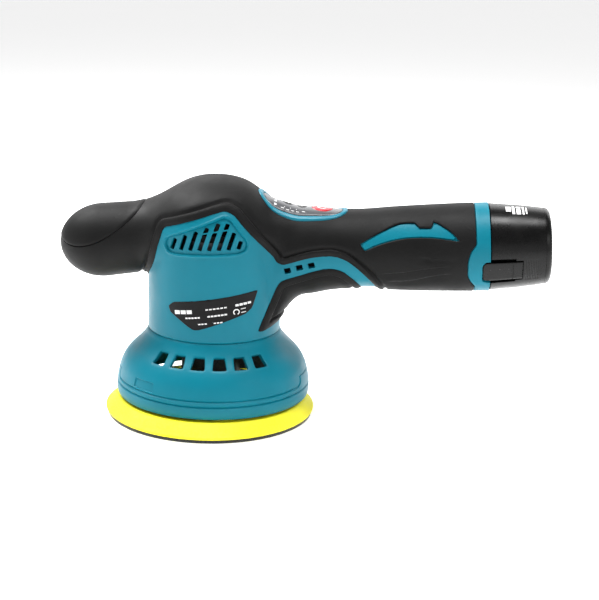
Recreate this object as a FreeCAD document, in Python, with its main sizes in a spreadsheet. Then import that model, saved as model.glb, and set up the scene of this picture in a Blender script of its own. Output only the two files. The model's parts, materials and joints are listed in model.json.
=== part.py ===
"""Cordless orbital sander with a palm knob, an in-line rear handle and a stick battery.

Units are millimetres. The origin is on the motor axis in the plane that the pad rests on, +Z is up
and +X runs towards the handle and the battery. The two clamshells meet in the plane Y = 0.
Driving dimensions are in the spreadsheet "dims", and every object reads its sizes from there.
"""
import FreeCAD, Part
import math
import os
import re

import Sketcher
from FreeCAD import Placement, Rotation, Vector

DIMENSIONS = {
    # pad, from the floor up
    "pad_radius": 62.5, "hook_radius": 61.5, "hook_thick": 2.0, "foam_rim": 3.4, "foam_top": 9.8,
    "foam_top_radius": 55.5, "foam_under_rim": 61.9, "pad_hole": 12.0, "key_hole": 3.5,
    "plate_radius": 44.0, "plate_thick": 2.0,
    "plate_hub_radius": 16.0, "plate_hub_top": 14.2, "rib_width": 2.0, "rib_top": 14.0, "rib_end": 36.0,
    "bolt_radius": 4.0, "bolt_head_radius": 6.2, "bolt_head_height": 4.0, "washer_radius": 9.5,
    "washer_thick": 1.2, "bolt_end": 25.0, "rib_bite": 0.5,
    # eccentric drive
    "orbit_radius": 4.5, "orbit_angle": -106.5,
    "spindle_radius": 5.95, "spindle_flange": 10.0, "flange_thick": 2.0, "shoulder_radius": 7.6,
    "spindle_end": 38.0, "clip_groove_radius": 5.0, "clip_radius": 7.8, "clip_thick": 1.0, "clip_room": 0.6,
    "bearing_bore": 6.0, "bearing_radius": 14.0, "bearing_width": 8.0, "bearing_ring": 2.2,
    "lower_bearing_z": 18.0, "bearing_gap": 2.0, "ball_bite": 0.05, "running_gap": 0.1,
    "hub_wall": 3.5, "hub_top": 40.0, "hub_neck_radius": 10.0, "hub_neck_top": 49.0,
    "weight_radius": 38.0, "weight_base": 24.0, "weight_top": 38.0, "weight_sweep": 140.0,
    "fan_radius": 33.0, "fan_base": 40.6, "fan_disc": 1.4, "fan_top": 47.0, "fan_hub_radius": 13.5,
    "blade_thick": 1.4, "blade_offset": 2.0, "blade_lift": 0.5, "blade_bite": 0.2,
    # motor
    "shaft_radius": 4.0, "shaft_fit": 0.05, "mount_base": 50.7, "mount_thick": 3.0, "mount_hole": 9.5,
    "can_radius": 21.0, "can_wall": 1.5, "can_top": 106.0, "front_seat_radius": 11.0,
    "can_floor": 2.4, "seat_roof": 1.2, "front_seat_depth": 7.0, "seat_wall": 2.0,
    "rear_seat_radius": 9.5, "rear_seat_base": 112.2,
    "rear_seat_depth": 6.0, "bell_top": 121.0, "bell_flange": 4.0, "magnet_inner": 15.5,
    "magnet_base": 64.0, "magnet_top": 94.0, "magnet_sweep": 130.0, "stack_radius": 14.6,
    "stack_base": 66.0, "stack_top": 91.0, "winding_radius": 12.0, "winding_rise": 3.0,
    "commutator_radius": 8.0, "commutator_base": 97.0, "commutator_top": 105.5, "shaft_end": 118.5,
    "shaft_base": 40.8, "brush_gap": 0.05, "brush_size": 4.0, "brush_length": 8.0,
    "motor_bolt_circle": 15.5, "motor_bolt_radius": 1.5, "motor_bolt_head_radius": 2.8,
    "motor_bolt_head_height": 1.8, "motor_bolt_reach": 5.2, "holder_inner": 9.6,
    "holder_outer": 19.1, "holder_wall": 1.5,
    # skirt
    "skirt_bottom": 12.2, "skirt_wall": 2.4, "skirt_radius": 58.0, "skirt_lip_radius": 57.4,
    "skirt_knee": 26.0, "skirt_knee_radius": 56.4, "shoulder_z": 41.3, "shoulder_radius_top": 46.3,
    "skirt_mid_z": 34.2, "skirt_mid_radius": 52.9, "neck_z": 45.4, "neck_radius": 42.8,
    "collar_radius": 39.6, "skirt_flange_inner": 29.0, "skirt_flange_thick": 3.0,
    "window_low": 37.6, "window_high": 44.2, "window_low_width": 8.6, "window_high_width": 6.4,
    "window_pitch": 14.9, "window_shift": 3.2, "window_inner_radius": 36.0,
    "skirt_bolt_circle": 32.5, "skirt_bolt_radius": 1.6,
    # column, dome, palm knob
    "column_radius": 40.6, "dome_centre": 112.0, "dome_height": 30.2, "column_base": 50.7,
    "grip_skin": 1.2, "shell_inset": 3.6, "bezel_rise": 0.5,
    "knob_tip_x": -92.1, "knob_tip_z": 98.4, "knob_rise": 7.7, "knob_nose": 26.0,
    "knob_radius": 21.6, "knob_root_radius": 20.4, "knob_length": 68.0,
    # rear handle
    "handle_x": 84.5, "handle_z": 101.8, "handle_rise": 3.4, "handle_end": 75.6,
    "handle_radius": 23.4, "handle_mid": 38.0, "handle_mid_radius": 25.3,
    "handle_end_radius": 26.0, "band_radius": 26.05, "band_start": 62.0, "bay_radius": 21.6,
    "bay_start": 28.6,
    # control panel
    "panel_x": 52.6, "panel_half_length": 25.0, "panel_half_width": 13.4, "bezel_width": 2.8,
    "panel_window_inset": 5.5, "board_z": 113.6, "board_thick": 1.6, "board_start": 28.0,
    "board_end": 76.0, "board_half_width": 10.5, "shelf_overlap": 2.0, "shelf_thick": 2.0,
    "switch_size": 6.0, "switch_height": 3.2,
    "plunger_radius": 1.6, "plunger_height": 0.4, "button_base": 119.4, "button_gap": 0.25,
    "power_x": 62.5, "faster_x": 50.5, "slower_x": 42.0, "power_half_length": 6.0,
    "key_half_length": 2.6, "button_ratio": 0.95, "led_radius": 1.1, "led_row_x": 35.0,
    "led_pitch": 3.2, "led_top": 121.5,
    # battery
    "sleeve_start": 29.4, "sleeve_radius": 21.2, "case_start": 76.0, "case_radius": 25.4,
    "case_mid": 92.0, "case_mid_radius": 24.1, "case_end": 104.0, "case_end_radius": 22.8,
    "case_bore": 19.9, "front_wall": 1.6, "cap_corner": 108.6, "cap_corner_radius": 20.0,
    "battery_end": 111.6, "cell_radius": 9.1, "cell_start": 34.4, "cell_length": 65.0,
    "cell_circle": 10.55, "pack_board": 31.4, "pack_board_thick": 1.6,
    "blade_start": 21.0, "blade_end": 30.7, "blade_width": 4.5, "contact_thick": 0.8,
    "blade_pitch": 9.0, "block_start": 17.0, "block_end": 27.6, "block_radius": 19.8,
    "contact_room": 0.4, "lead_radius": 1.1,
    # battery latches
    "latch_angle": 66.0, "latch_start": 71.4, "latch_end": 93.6, "latch_outer": 25.6,
    "latch_taper": 1.3, "latch_inner": 23.4, "latch_sweep": 30.0, "latch_root_inner": 22.3,
    "latch_root_start": 90.6, "latch_notch_gap": 0.5, "recess_radius": 21.4, "recess_end": 94.2,
    "recess_sweep": 33.0, "pin_radius": 0.8,
    "pin_station": 92.2, "pin_offset": 23.3, "pin_length": 16.6, "pin_gap": 0.05,
    "spring_start": 78.0, "spring_end": 89.0, "spring_thick": 0.5, "spring_sweep": 14.0,
    # fasteners and name plate
    "screw_radius": 1.6, "screw_head_radius": 3.0, "screw_head_height": 2.2, "boss_radius": 3.8,
    "screw_depth": 14.0, "head_gap": 0.3, "plate_rise": 0.4,
}

# Sections of the neck, up to where the straight handle starts: X, centre Z, half height, half width.
NECK_SECTIONS = [(26.0, 90.4, 39.6, 22.0), (36.0, 90.2, 39.2, 22.0), (42.0, 95.5, 31.8, 22.2),
                 (48.0, 98.2, 27.8, 22.6), (60.0, 100.0, 25.6, 22.9), (72.0, 101.0, 23.9, 23.1)]

# Outlines in the XZ plane, as runs: two points are a straight run, more are a smooth curve.
TEAL_OUTLINE = [
    [(-60.0, 82.5), (-38.6, 83.0)],
    [(-38.6, 83.0), (-33.6, 93.0), (-29.4, 106.9), (-27.1, 114.2)],
    [(-27.1, 114.2), (-25.8, 116.0), (-23.0, 117.1)], [(-23.0, 117.1), (3.0, 126.0)],
    [(3.0, 126.0), (9.4, 127.2), (14.3, 124.9)], [(14.3, 124.9), (36.0, 99.5)],
    [(36.0, 99.5), (38.3, 96.2), (41.8, 94.9)],
    [(41.8, 94.9), (61.1, 100.6), (70.5, 101.4), (77.3, 99.6), (84.2, 95.0), (90.1, 89.4),
     (94.3, 84.4), (99.0, 74.0)],
    [(99.0, 74.0), (90.0, 74.0)],
    [(90.0, 74.0), (84.8, 84.5), (80.6, 88.9), (75.7, 92.5), (69.9, 93.8), (61.4, 92.3),
     (51.3, 88.6)],
    [(51.3, 88.6), (43.4, 86.0)], [(43.4, 86.0), (40.2, 84.2), (38.2, 81.0)],
    [(38.2, 81.0), (29.3, 58.2)], [(29.3, 58.2), (29.0, 56.0), (31.4, 55.6)],
    [(31.4, 55.6), (48.0, 60.5)], [(48.0, 60.5), (48.0, 40.0)], [(48.0, 40.0), (-60.0, 40.0)],
    [(-60.0, 40.0), (-60.0, 82.5)]]
INSERT_OUTLINE = [[(24.0, 48.0), (24.0, 60.0)], [(24.0, 60.0), (39.0, 91.0)],
                  [(39.0, 91.0), (60.0, 96.6)], [(60.0, 96.6), (72.0, 97.5), (82.0, 92.0),
                                                 (92.0, 80.0)],
                  [(92.0, 80.0), (94.0, 48.0)], [(94.0, 48.0), (24.0, 48.0)]]
FEATHER_OUTLINE = [
    [(85.6, 109.1), (88.1, 105.2)],
    [(88.1, 105.2), (95.9, 109.0), (108.3, 112.8), (125.2, 114.4), (142.9, 113.4)],
    [(142.9, 113.4), (136.3, 118.6), (127.3, 122.9)], [(127.3, 122.9), (125.8, 119.6)],
    [(125.8, 119.6), (119.3, 119.1)], [(119.3, 119.1), (116.4, 121.4)],
    [(116.4, 121.4), (107.9, 120.6), (99.5, 117.1), (91.2, 112.6), (85.6, 109.1)]]
BAND_OUTLINE = [
    [(149.4, 145.0), (151.5, 112.3)], [(151.5, 112.3), (148.6, 108.1), (147.2, 102.2)],
    [(147.2, 102.2), (147.7, 94.0)], [(147.7, 94.0), (150.0, 89.4), (152.4, 86.8)],
    [(152.4, 86.8), (152.4, 60.0)], [(152.4, 60.0), (190.0, 60.0)], [(190.0, 60.0), (190.0, 145.0)],
    [(190.0, 145.0), (149.4, 145.0)]]
KNOB_PAD_OUTLINE = [
    [(-38.0, 140.0), (-38.7, 129.0)],
    [(-38.7, 129.0), (-45.7, 118.4), (-56.9, 109.0), (-71.1, 101.6), (-78.2, 100.1),
     (-84.1, 100.3), (-96.0, 106.0)],
    [(-96.0, 106.0), (-96.0, 140.0)], [(-96.0, 140.0), (-38.0, 140.0)]]
NAME_OUTLINE = [
    [(-22.9, 70.6), (-20.0, 73.4), (-15.7, 74.4)], [(-15.7, 74.4), (28.1, 81.4)],
    [(28.1, 81.4), (25.2, 71.4)], [(25.2, 71.4), (21.8, 68.2)], [(21.8, 68.2), (-3.6, 59.0)],
    [(-3.6, 59.0), (-7.3, 58.6), (-11.0, 60.4)], [(-11.0, 60.4), (-21.6, 67.4)],
    [(-21.6, 67.4), (-22.9, 70.6)]]

# Side vents: slanted slots that stop at two sloping lines, and three small square holes.
SLOT_COUNT = 8
SLOT_FIRST = (-20.3, 105.1)
SLOT_STEP = (5.45, 0.24)
SLOT_LEAN = 18.0
SLOT_WIDTH = 2.6
SLOT_ROOF = [((-22.4, 109.2), (7.6, 121.6)), ((12.0, 120.4), (20.8, 109.2))]
SQUARE_VENTS = [(44.4, 91.5), (51.2, 93.7), (58.1, 95.4)]
SQUARE_VENT_SIZE = (3.9, 3.3)
SQUARE_VENT_LEAN = 15.0

# Each housing screw: X and Z of its axis, and the Y of its head's seat on the right side.
SCREW_PLACES = [(-66.0, 101.0, 13.0), (-30.5, 72.0, 17.0), (30.5, 62.0, 17.0), (4.0, 130.0, 12.0),
                (60.0, 84.0, 14.0), (94.0, 96.0, 14.0)]
FAN_BLADES = 13
BALLS = 8
MOTOR_BOLTS = 4
SKIRT_BOLTS = 4
PLATE_RIBS = 8
WINDOWS_PER_SIDE = 6
CELL_COUNT = 3
FAR = 200.0

# The middle lines of the two battery leads and the two motor leads, as (X, Z) points.
SUPPLY_ROUTE = [(76.0, 114.4), (85.0, 114.4), (94.0, 108.4), (101.12, 106.4)]
SUPPLY_PLACES = (-5.0, 5.0)
MOTOR_ROUTE = [(28.0, 114.4), (17.0, 114.4), (17.0, 110.0)]
MOTOR_PLACES = (-6.0, 6.0)

doc = FreeCAD.newDocument("orbital_sander")
sheet = doc.addObject("Spreadsheet::Sheet", "dims")
for row, (alias, value) in enumerate(DIMENSIONS.items(), start=1):
    sheet.set(f"A{row}", alias)
    sheet.set(f"B{row}", str(value))
    sheet.setAlias(f"B{row}", alias)
doc.recompute()

WORD = re.compile(r"[a-z_]+[a-z]")
pieces = []


# ---------------------------------------------------------------- helpers

def dim(alias):
    """The value of one cell of the sheet."""
    return float(sheet.get(alias))


def formula(text):
    """An expression on the sheet, from a formula written with the plain names of its cells."""
    return WORD.sub(lambda found: "dims." + found.group() if found.group() in DIMENSIONS
                    else found.group(), str(text))


def bind(item, **formulas):
    for name, text in formulas.items():
        item.setExpression(name.replace("__", "."), formula(text))
    return item


def place(item, base=(0, 0, 0), rotation=None):
    """Puts an object at a point whose coordinates are formulas."""
    turn = rotation or Rotation()
    item.Placement = Placement(Vector(), turn)
    for axis, text in zip("xyz", base):
        item.setExpression("Placement.Base." + axis, formula(text))
    return item


def cylinder(name, radius, height, base=(0, 0, 0), rotation=None):
    item = doc.addObject("Part::Cylinder", name)
    bind(item, Radius=radius, Height=height)
    return place(item, base, rotation)


def box(name, size, base, rotation=None):
    item = doc.addObject("Part::Box", name)
    bind(item, Length=size[0], Width=size[1], Height=size[2])
    return place(item, base, rotation)


def fuse(name, items):
    item = doc.addObject("Part::MultiFuse", name)
    item.Shapes = items
    return item


def common(name, items):
    item = doc.addObject("Part::MultiCommon", name)
    item.Shapes = items
    return item


def cut(name, base, tool):
    item = doc.addObject("Part::Cut", name)
    item.Base = base
    item.Tool = tool
    return item


def group(name, items):
    """Several loose solids kept together as one sub-part."""
    item = doc.addObject("Part::Compound", name)
    item.Links = items
    return item


def mirrored(name, source):
    """The same shape on the other side of the plane Y = 0."""
    item = doc.addObject("Part::Mirroring", name)
    item.Source = source
    item.Normal = Vector(0, 1, 0)
    return item


def piece(item, label):
    """Registers a finished sub-part under its own label."""
    item.Label = label
    pieces.append(item)
    return item


def turned(name, profile, angle=360.0, placement=None):
    """A body revolved about its own Z axis from a closed profile of (radius, height) formulas.

    An entry ("arc", radius, height) makes the stretch between its neighbours an arc through it.
    """
    body = doc.addObject("PartDesign::Body", name)
    sketch = body.newObject("Sketcher::SketchObject", name + "_profile")
    plane = [f for f in body.Origin.OriginFeatures if f.Role == "XZ_Plane"][0]
    sketch.AttachmentSupport = [(plane, "")]
    sketch.MapMode = "FlatFace"
    corners = [entry for entry in profile if entry[0] != "arc"]
    bends = {index: entry for index, entry in enumerate(profile) if entry[0] == "arc"}
    values = [Vector(number(r), number(z), 0) for r, z in corners]
    edge_starts = []
    shift = 0
    for index, entry in enumerate(profile):
        if entry[0] == "arc":
            shift += 1
            continue
        first = index - shift
        second = (first + 1) % len(corners)
        bend = bends.get(index + 1)
        if bend:
            middle = Vector(number(bend[1]), number(bend[2]), 0)
            edge = sketch.addGeometry(Part.Arc(values[first], middle, values[second]), False)
            forward = (sketch.getPoint(edge, 1) - values[first]).Length < 1e-6
        else:
            edge = sketch.addGeometry(Part.LineSegment(values[first], values[second]), False)
            forward = True
        edge_starts.append((edge, 1 if forward else 2, 2 if forward else 1, bool(bend)))
    for index, (edge, start, _, curved) in enumerate(edge_starts):
        before, _, end, _ = edge_starts[index - 1]
        sketch.addConstraint(Sketcher.Constraint("Coincident", before, end, edge, start))
        for kind, text in (("DistanceX", corners[index][0]), ("DistanceY", corners[index][1])):
            tag = sketch.addConstraint(Sketcher.Constraint(kind, -1, 1, edge, start, number(text)))
            sketch.setExpression(f"Constraints[{tag}]", formula(text))
        if curved:
            radius = sketch.Geometry[edge].Radius
            sketch.addConstraint(Sketcher.Constraint("Radius", edge, radius))
    turn = body.newObject("PartDesign::Revolution", name + "_turn")
    turn.Profile = sketch
    turn.ReferenceAxis = (sketch, ["V_Axis"])
    turn.Angle = angle
    turn.Midplane = angle < 360.0
    body.Tip = turn
    body.Placement = placement or Placement()
    return body


def number(text):
    """The value that a formula has on the sheet."""
    return float(sheet.evalExpression(formula(text)))


def outline_prism(name, curves, plane="XZ", half_depth=FAR):
    """A prism along Y (or Z) on a closed outline of straight runs and smooth curves.

    curves is a list of point lists; a list of two points is a straight run and a longer one is a
    smooth curve through its points. Each run starts where the one before it ends.
    """
    def lift(point):
        a, b = point
        return Vector(a, 0, b) if plane == "XZ" else Vector(a, b, 0)
    edges = []
    for run in curves:
        points = [lift(point) for point in run]
        if len(points) == 2:
            edges.append(Part.LineSegment(*points).toShape())
        else:
            spline = Part.BSplineCurve()
            spline.interpolate(points)
            edges.append(spline.toShape())
    outline = doc.addObject("Part::Feature", name + "_outline")
    outline.Shape = Part.Face(Part.Wire(edges))
    prism = doc.addObject("Part::Extrusion", name)
    prism.Base = outline
    prism.DirMode = "Custom"
    prism.Dir = Vector(0, 1, 0) if plane == "XZ" else Vector(0, 0, 1)
    prism.LengthFwd = half_depth
    prism.LengthRev = half_depth
    prism.Solid = True
    return prism


def spun(item, angle, frame=Placement()):
    """Moves an object, placed by plain values, round the Z axis of a frame."""
    item.Placement = frame * Placement(Vector(), Rotation(Vector(0, 0, 1), angle)) * item.Placement
    return item


def steps(count, start=0.0):
    """Evenly spaced angles round a full turn."""
    return [start + 360.0 * index / count for index in range(count)]


# ---------------------------------------------------------------- frames

OFFSET = Vector(dim("orbit_radius"), 0, 0)
ORBIT_TURN = Rotation(Vector(0, 0, 1), dim("orbit_angle"))
PAD_FRAME = Placement(ORBIT_TURN.multVec(OFFSET), ORBIT_TURN)
HANDLE_FRAME = Placement(Vector(dim("handle_x"), 0, dim("handle_z")),
                         Rotation(Vector(0, 1, 0), 90.0 - dim("handle_rise")))
KNOB_FRAME = Placement(Vector(dim("knob_tip_x"), 0, dim("knob_tip_z")),
                       Rotation(Vector(0, 1, 0), 90.0 - dim("knob_rise")))


def sector(name, profile, sweep, direction=0.0, frame=Placement()):
    """A turned piece of less than a full turn, centred on a direction in its frame."""
    turn = Placement(Vector(), Rotation(Vector(0, 0, 1), direction))
    return turned(name, profile, dim(sweep), frame * turn)


def tube(name, inner, outer, base, top, frame=None):
    """A plain ring between two heights."""
    profile = [(inner, base), (outer, base), (outer, top), (inner, top)]
    return turned(name, profile, placement=frame)


# ---------------------------------------------------------------- pad

def make_pad():
    piece(tube("hook", "key_hole", "hook_radius", "0", "hook_thick", PAD_FRAME), "hook_face")
    foam = [("pad_hole", "hook_thick"), ("foam_under_rim", "hook_thick"),
            ("pad_radius", "foam_rim"), ("foam_top_radius", "foam_top"), ("pad_hole", "foam_top")]
    piece(turned("foam", foam, placement=PAD_FRAME), "pad_foam")

    plate = [("bolt_radius", "foam_top"), ("plate_radius", "foam_top"),
             ("plate_radius", "foam_top + plate_thick"),
             ("plate_hub_radius", "foam_top + plate_thick"),
             ("plate_hub_radius", "plate_hub_top"), ("bolt_radius", "plate_hub_top")]
    parts = [turned("plate_disc", plate, placement=PAD_FRAME)]
    for angle in steps(PLATE_RIBS):
        rib = doc.addObject("Part::Box", "plate_rib")
        bind(rib, Length="rib_end - plate_hub_radius + rib_bite", Width="rib_width",
             Height="rib_top - foam_top - plate_thick")
        rib.Placement.Base = Vector(dim("plate_hub_radius") - dim("rib_bite"),
                                    -dim("rib_width") / 2, dim("foam_top") + dim("plate_thick"))
        parts.append(spun(rib, angle, PAD_FRAME))
    piece(fuse("plate", parts), "backing_plate")

    washer_base = "foam_top - washer_thick"
    piece(tube("washer", "bolt_radius", "washer_radius", washer_base, "foam_top", PAD_FRAME),
          "pad_washer")
    head = doc.addObject("Part::Prism", "bolt_head")
    bind(head, Circumradius="bolt_head_radius", Height="bolt_head_height")
    head.Placement = PAD_FRAME * Placement(
        Vector(0, 0, number(washer_base) - dim("bolt_head_height")), Rotation())
    shank = turned("bolt_shank", [("0", washer_base), ("bolt_radius", washer_base),
                                  ("bolt_radius", "bolt_end"), ("0", "bolt_end")],
                   placement=PAD_FRAME)
    piece(fuse("bolt", [head, shank]), "pad_bolt")

    flange_top = "plate_hub_top + flange_thick"
    shoulder_top = "lower_bearing_z - running_gap"
    clip_base = "lower_bearing_z + 2 * bearing_width + bearing_gap + running_gap"
    spindle = [("bolt_radius", "plate_hub_top"), ("spindle_flange", "plate_hub_top"),
               ("spindle_flange", flange_top), ("shoulder_radius", flange_top),
               ("shoulder_radius", shoulder_top), ("spindle_radius", shoulder_top),
               ("spindle_radius", clip_base), ("clip_groove_radius", clip_base),
               ("clip_groove_radius", clip_base + " + clip_thick"),
               ("spindle_radius", clip_base + " + clip_thick"), ("spindle_radius", "spindle_end"),
               ("0", "spindle_end"), ("0", "bolt_end"), ("bolt_radius", "bolt_end")]
    piece(turned("spindle", spindle, placement=PAD_FRAME), "pad_spindle")
    piece(tube("clip", "clip_groove_radius", "clip_radius", clip_base, clip_base + " + clip_thick",
               PAD_FRAME), "spindle_clip")


# ---------------------------------------------------------------- eccentric drive

def make_bearing(name, label, inner, outer, base, width, frame=None):
    """A ball bearing: two rings with a ring of balls between them."""
    top = f"{base} + {width}"
    middle = (number(inner) + number(outer)) / 2
    reach = (number(outer) - number(inner)) / 2 - dim("bearing_ring") + dim("ball_bite")
    parts = [tube(name + "_inner", inner, inner + " + bearing_ring", base, top, frame),
             tube(name + "_outer", outer + " - bearing_ring", outer, base, top, frame)]
    for angle in steps(BALLS):
        ball = doc.addObject("Part::Sphere", name + "_ball")
        ball.Radius = reach
        ball.Placement = Placement(Vector(middle, 0, number(base) + number(width) / 2),
                                   Rotation(Vector(0, 0, 1), 90))
        parts.append(spun(ball, angle, frame or Placement()))
    piece(fuse(name, parts), label)


def make_drive():
    upper_z = "lower_bearing_z + bearing_width + bearing_gap"
    make_bearing("lower_bearing", "lower_pad_bearing", "bearing_bore", "bearing_radius",
                 "lower_bearing_z", "bearing_width", PAD_FRAME)
    make_bearing("upper_bearing", "upper_pad_bearing", "bearing_bore", "bearing_radius",
                 upper_z, "bearing_width", PAD_FRAME)
    piece(tube("spacer", "bearing_radius - bearing_ring", "bearing_radius",
               "lower_bearing_z + bearing_width", upper_z, PAD_FRAME), "bearing_spacer")

    seat_top = upper_z + " + bearing_width"
    room_top = "spindle_end + clip_room"
    housing = [("bearing_radius", "lower_bearing_z"),
               ("bearing_radius + hub_wall", "lower_bearing_z"),
               ("bearing_radius + hub_wall", "hub_top"), ("0", "hub_top"),
               ("0", room_top), ("bearing_radius - bearing_ring", room_top),
               ("bearing_radius - bearing_ring", seat_top), ("bearing_radius", seat_top)]
    cup = turned("hub_cup", housing, placement=PAD_FRAME)
    neck = cylinder("hub_neck", "hub_neck_radius", "hub_neck_top - hub_top", (0, 0, "hub_top"))
    weight = sector("hub_weight", [("bearing_radius + 1", "weight_base"),
                                   ("weight_radius", "weight_base"),
                                   ("weight_radius", "weight_top"),
                                   ("bearing_radius + 1", "weight_top")],
                    "weight_sweep", dim("orbit_angle") + 180.0)
    below = "lower_bearing_z - 1"
    seat = turned("hub_seat", [("0", below), ("bearing_radius", below),
                               ("bearing_radius", seat_top), ("0", seat_top)], placement=PAD_FRAME)
    clip_room = turned("hub_room", [("0", seat_top), ("bearing_radius - bearing_ring", seat_top),
                                    ("bearing_radius - bearing_ring", room_top),
                                    ("0", room_top)], placement=PAD_FRAME)
    bore = cylinder("hub_bore", "shaft_radius", "hub_neck_top", (0, 0, "shaft_base"))
    body = fuse("hub_body", [cup, neck, weight])
    piece(cut("hub", body, fuse("hub_voids", [seat, clip_room, bore])), "eccentric_hub")

    disc = tube("fan_disc", "hub_neck_radius", "fan_radius", "fan_base", "fan_base + fan_disc")
    collar = tube("fan_collar", "hub_neck_radius", "fan_hub_radius", "fan_base", "fan_top")
    blades = []
    for angle in steps(FAN_BLADES):
        blade = doc.addObject("Part::Box", "fan_blade")
        bind(blade, Length="fan_radius - fan_hub_radius", Width="blade_thick",
             Height="fan_top - fan_base - blade_lift")
        blade.Placement.Base = Vector(dim("fan_hub_radius") - dim("blade_bite"),
                                      dim("blade_offset"), dim("fan_base") + dim("blade_lift"))
        blades.append(spun(blade, angle))
    rim = cylinder("fan_rim", "fan_radius", "fan_top", (0, 0, 0))
    wheel = fuse("fan_wheel", [disc, collar] + blades)
    piece(common("fan", [wheel, rim]), "cooling_fan")


# ---------------------------------------------------------------- motor

def make_motor():
    plate_top = "mount_base + mount_thick"
    seat_top = plate_top + " + front_seat_depth"
    plate = tube("mount", "mount_hole", "column_radius - shell_inset", "mount_base", plate_top)
    holes = []
    for angle in steps(MOTOR_BOLTS, 45.0):
        hole = doc.addObject("Part::Cylinder", "mount_bolt_hole")
        bind(hole, Radius="motor_bolt_radius", Height="mount_thick + 4")
        hole.Placement.Base = Vector(dim("motor_bolt_circle"), 0, dim("mount_base") - 2)
        holes.append(spun(hole, angle))
    for angle in steps(SKIRT_BOLTS):
        hole = doc.addObject("Part::Cylinder", "mount_skirt_hole")
        bind(hole, Radius="skirt_bolt_radius", Height="mount_thick + 4")
        hole.Placement.Base = Vector(dim("skirt_bolt_circle"), 0, dim("mount_base") - 2)
        holes.append(spun(hole, angle))
    piece(cut("mount_plate", plate, fuse("mount_holes", holes)), "motor_mount_plate")

    bore = "can_radius - can_wall"
    can = [("front_seat_radius", plate_top), ("can_radius", plate_top), ("can_radius", "can_top"),
           (bore, "can_top"), (bore, plate_top + " + can_floor"),
           ("front_seat_radius + seat_wall", plate_top + " + can_floor"),
           ("front_seat_radius + seat_wall", seat_top + " + seat_roof"),
           ("shaft_radius + 2", seat_top + " + seat_roof"), ("shaft_radius + 2", seat_top),
           ("front_seat_radius", seat_top)]
    shell = turned("can", can)
    threads = []
    for angle in steps(MOTOR_BOLTS, 45.0):
        thread = doc.addObject("Part::Cylinder", "can_thread")
        bind(thread, Radius="motor_bolt_radius", Height="mount_thick + can_floor")
        thread.Placement.Base = Vector(dim("motor_bolt_circle"), 0, dim("mount_base"))
        threads.append(spun(thread, angle))
    piece(cut("motor_shell", shell, fuse("can_threads", threads)), "motor_can")
    bolts = []
    for angle in steps(MOTOR_BOLTS, 45.0):
        head = doc.addObject("Part::Cylinder", "motor_bolt_head")
        bind(head, Radius="motor_bolt_head_radius", Height="motor_bolt_head_height")
        head.Placement.Base = Vector(dim("motor_bolt_circle"), 0,
                                     dim("mount_base") - dim("motor_bolt_head_height"))
        shank = doc.addObject("Part::Cylinder", "motor_bolt_shank")
        bind(shank, Radius="motor_bolt_radius", Height="motor_bolt_reach")
        shank.Placement.Base = Vector(dim("motor_bolt_circle"), 0, dim("mount_base"))
        bolts.append(fuse("motor_bolt", [spun(head, angle), spun(shank, angle)]))
    piece(group("motor_bolts", bolts), "motor_screws")

    make_bearing("front_bearing", "front_motor_bearing", "shaft_radius + shaft_fit",
                 "front_seat_radius", plate_top, "front_seat_depth")
    make_bearing("rear_bearing", "rear_motor_bearing", "shaft_radius + shaft_fit",
                 "rear_seat_radius", "rear_seat_base", "rear_seat_depth")
    bell = [("shaft_radius + 1", "can_top"), ("can_radius", "can_top"),
            ("can_radius", "can_top + bell_flange"),
            ("rear_seat_radius + 3", "can_top + bell_flange"),
            ("rear_seat_radius + 3", "bell_top"), ("0", "bell_top"),
            ("0", "rear_seat_base + rear_seat_depth + 1"),
            ("rear_seat_radius", "rear_seat_base + rear_seat_depth + 1"),
            ("rear_seat_radius", "rear_seat_base"), ("shaft_radius + 1", "rear_seat_base")]
    piece(turned("bell", bell), "motor_end_bell")

    magnet = [("magnet_inner", "magnet_base"), (bore, "magnet_base"), (bore, "magnet_top"),
              ("magnet_inner", "magnet_top")]
    piece(group("magnets", [sector(f"magnet_{side}", magnet, "magnet_sweep", angle)
                            for side, angle in (("a", 90.0), ("b", 270.0))]), "motor_magnets")
    stack = [("shaft_radius", "stack_base"), ("stack_radius", "stack_base"),
             ("stack_radius", "stack_top"), ("winding_radius", "stack_top"),
             ("winding_radius - 2", "stack_top + winding_rise"),
             ("shaft_radius", "stack_top + winding_rise")]
    piece(turned("armature_stack", stack), "armature")
    piece(tube("commutator_ring", "shaft_radius", "commutator_radius", "commutator_base",
               "commutator_top"), "commutator")
    piece(cylinder("shaft", "shaft_radius", "shaft_end - shaft_base", (0, 0, "shaft_base")),
          "motor_shaft")
    reach = "commutator_radius + brush_gap"
    height = "(commutator_base + commutator_top - brush_size) / 2"
    brushes = [box("brush_right", ("brush_length", "brush_size", "brush_size"),
                   (reach, "-brush_size / 2", height)),
               box("brush_left", ("brush_length", "brush_size", "brush_size"),
                   (f"-({reach}) - brush_length", "-brush_size / 2", height))]
    piece(group("brushes", brushes), "motor_brushes")
    holders = []
    long = "(holder_outer - holder_inner)"
    for start in ("holder_inner", "-holder_outer"):
        body = box("holder_body", (long, "brush_size + 2 * holder_wall",
                                   "can_top - commutator_base"),
                   (start, "-brush_size / 2 - holder_wall", "commutator_base"))
        slot = box("holder_slot", (long + " + 2", "brush_size", "brush_size"),
                   (start + " - 1", "-brush_size / 2", height))
        holders.append(cut("brush_holder", body, slot))
    piece(group("holders", holders), "brush_holders")


# ---------------------------------------------------------------- skirt

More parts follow.
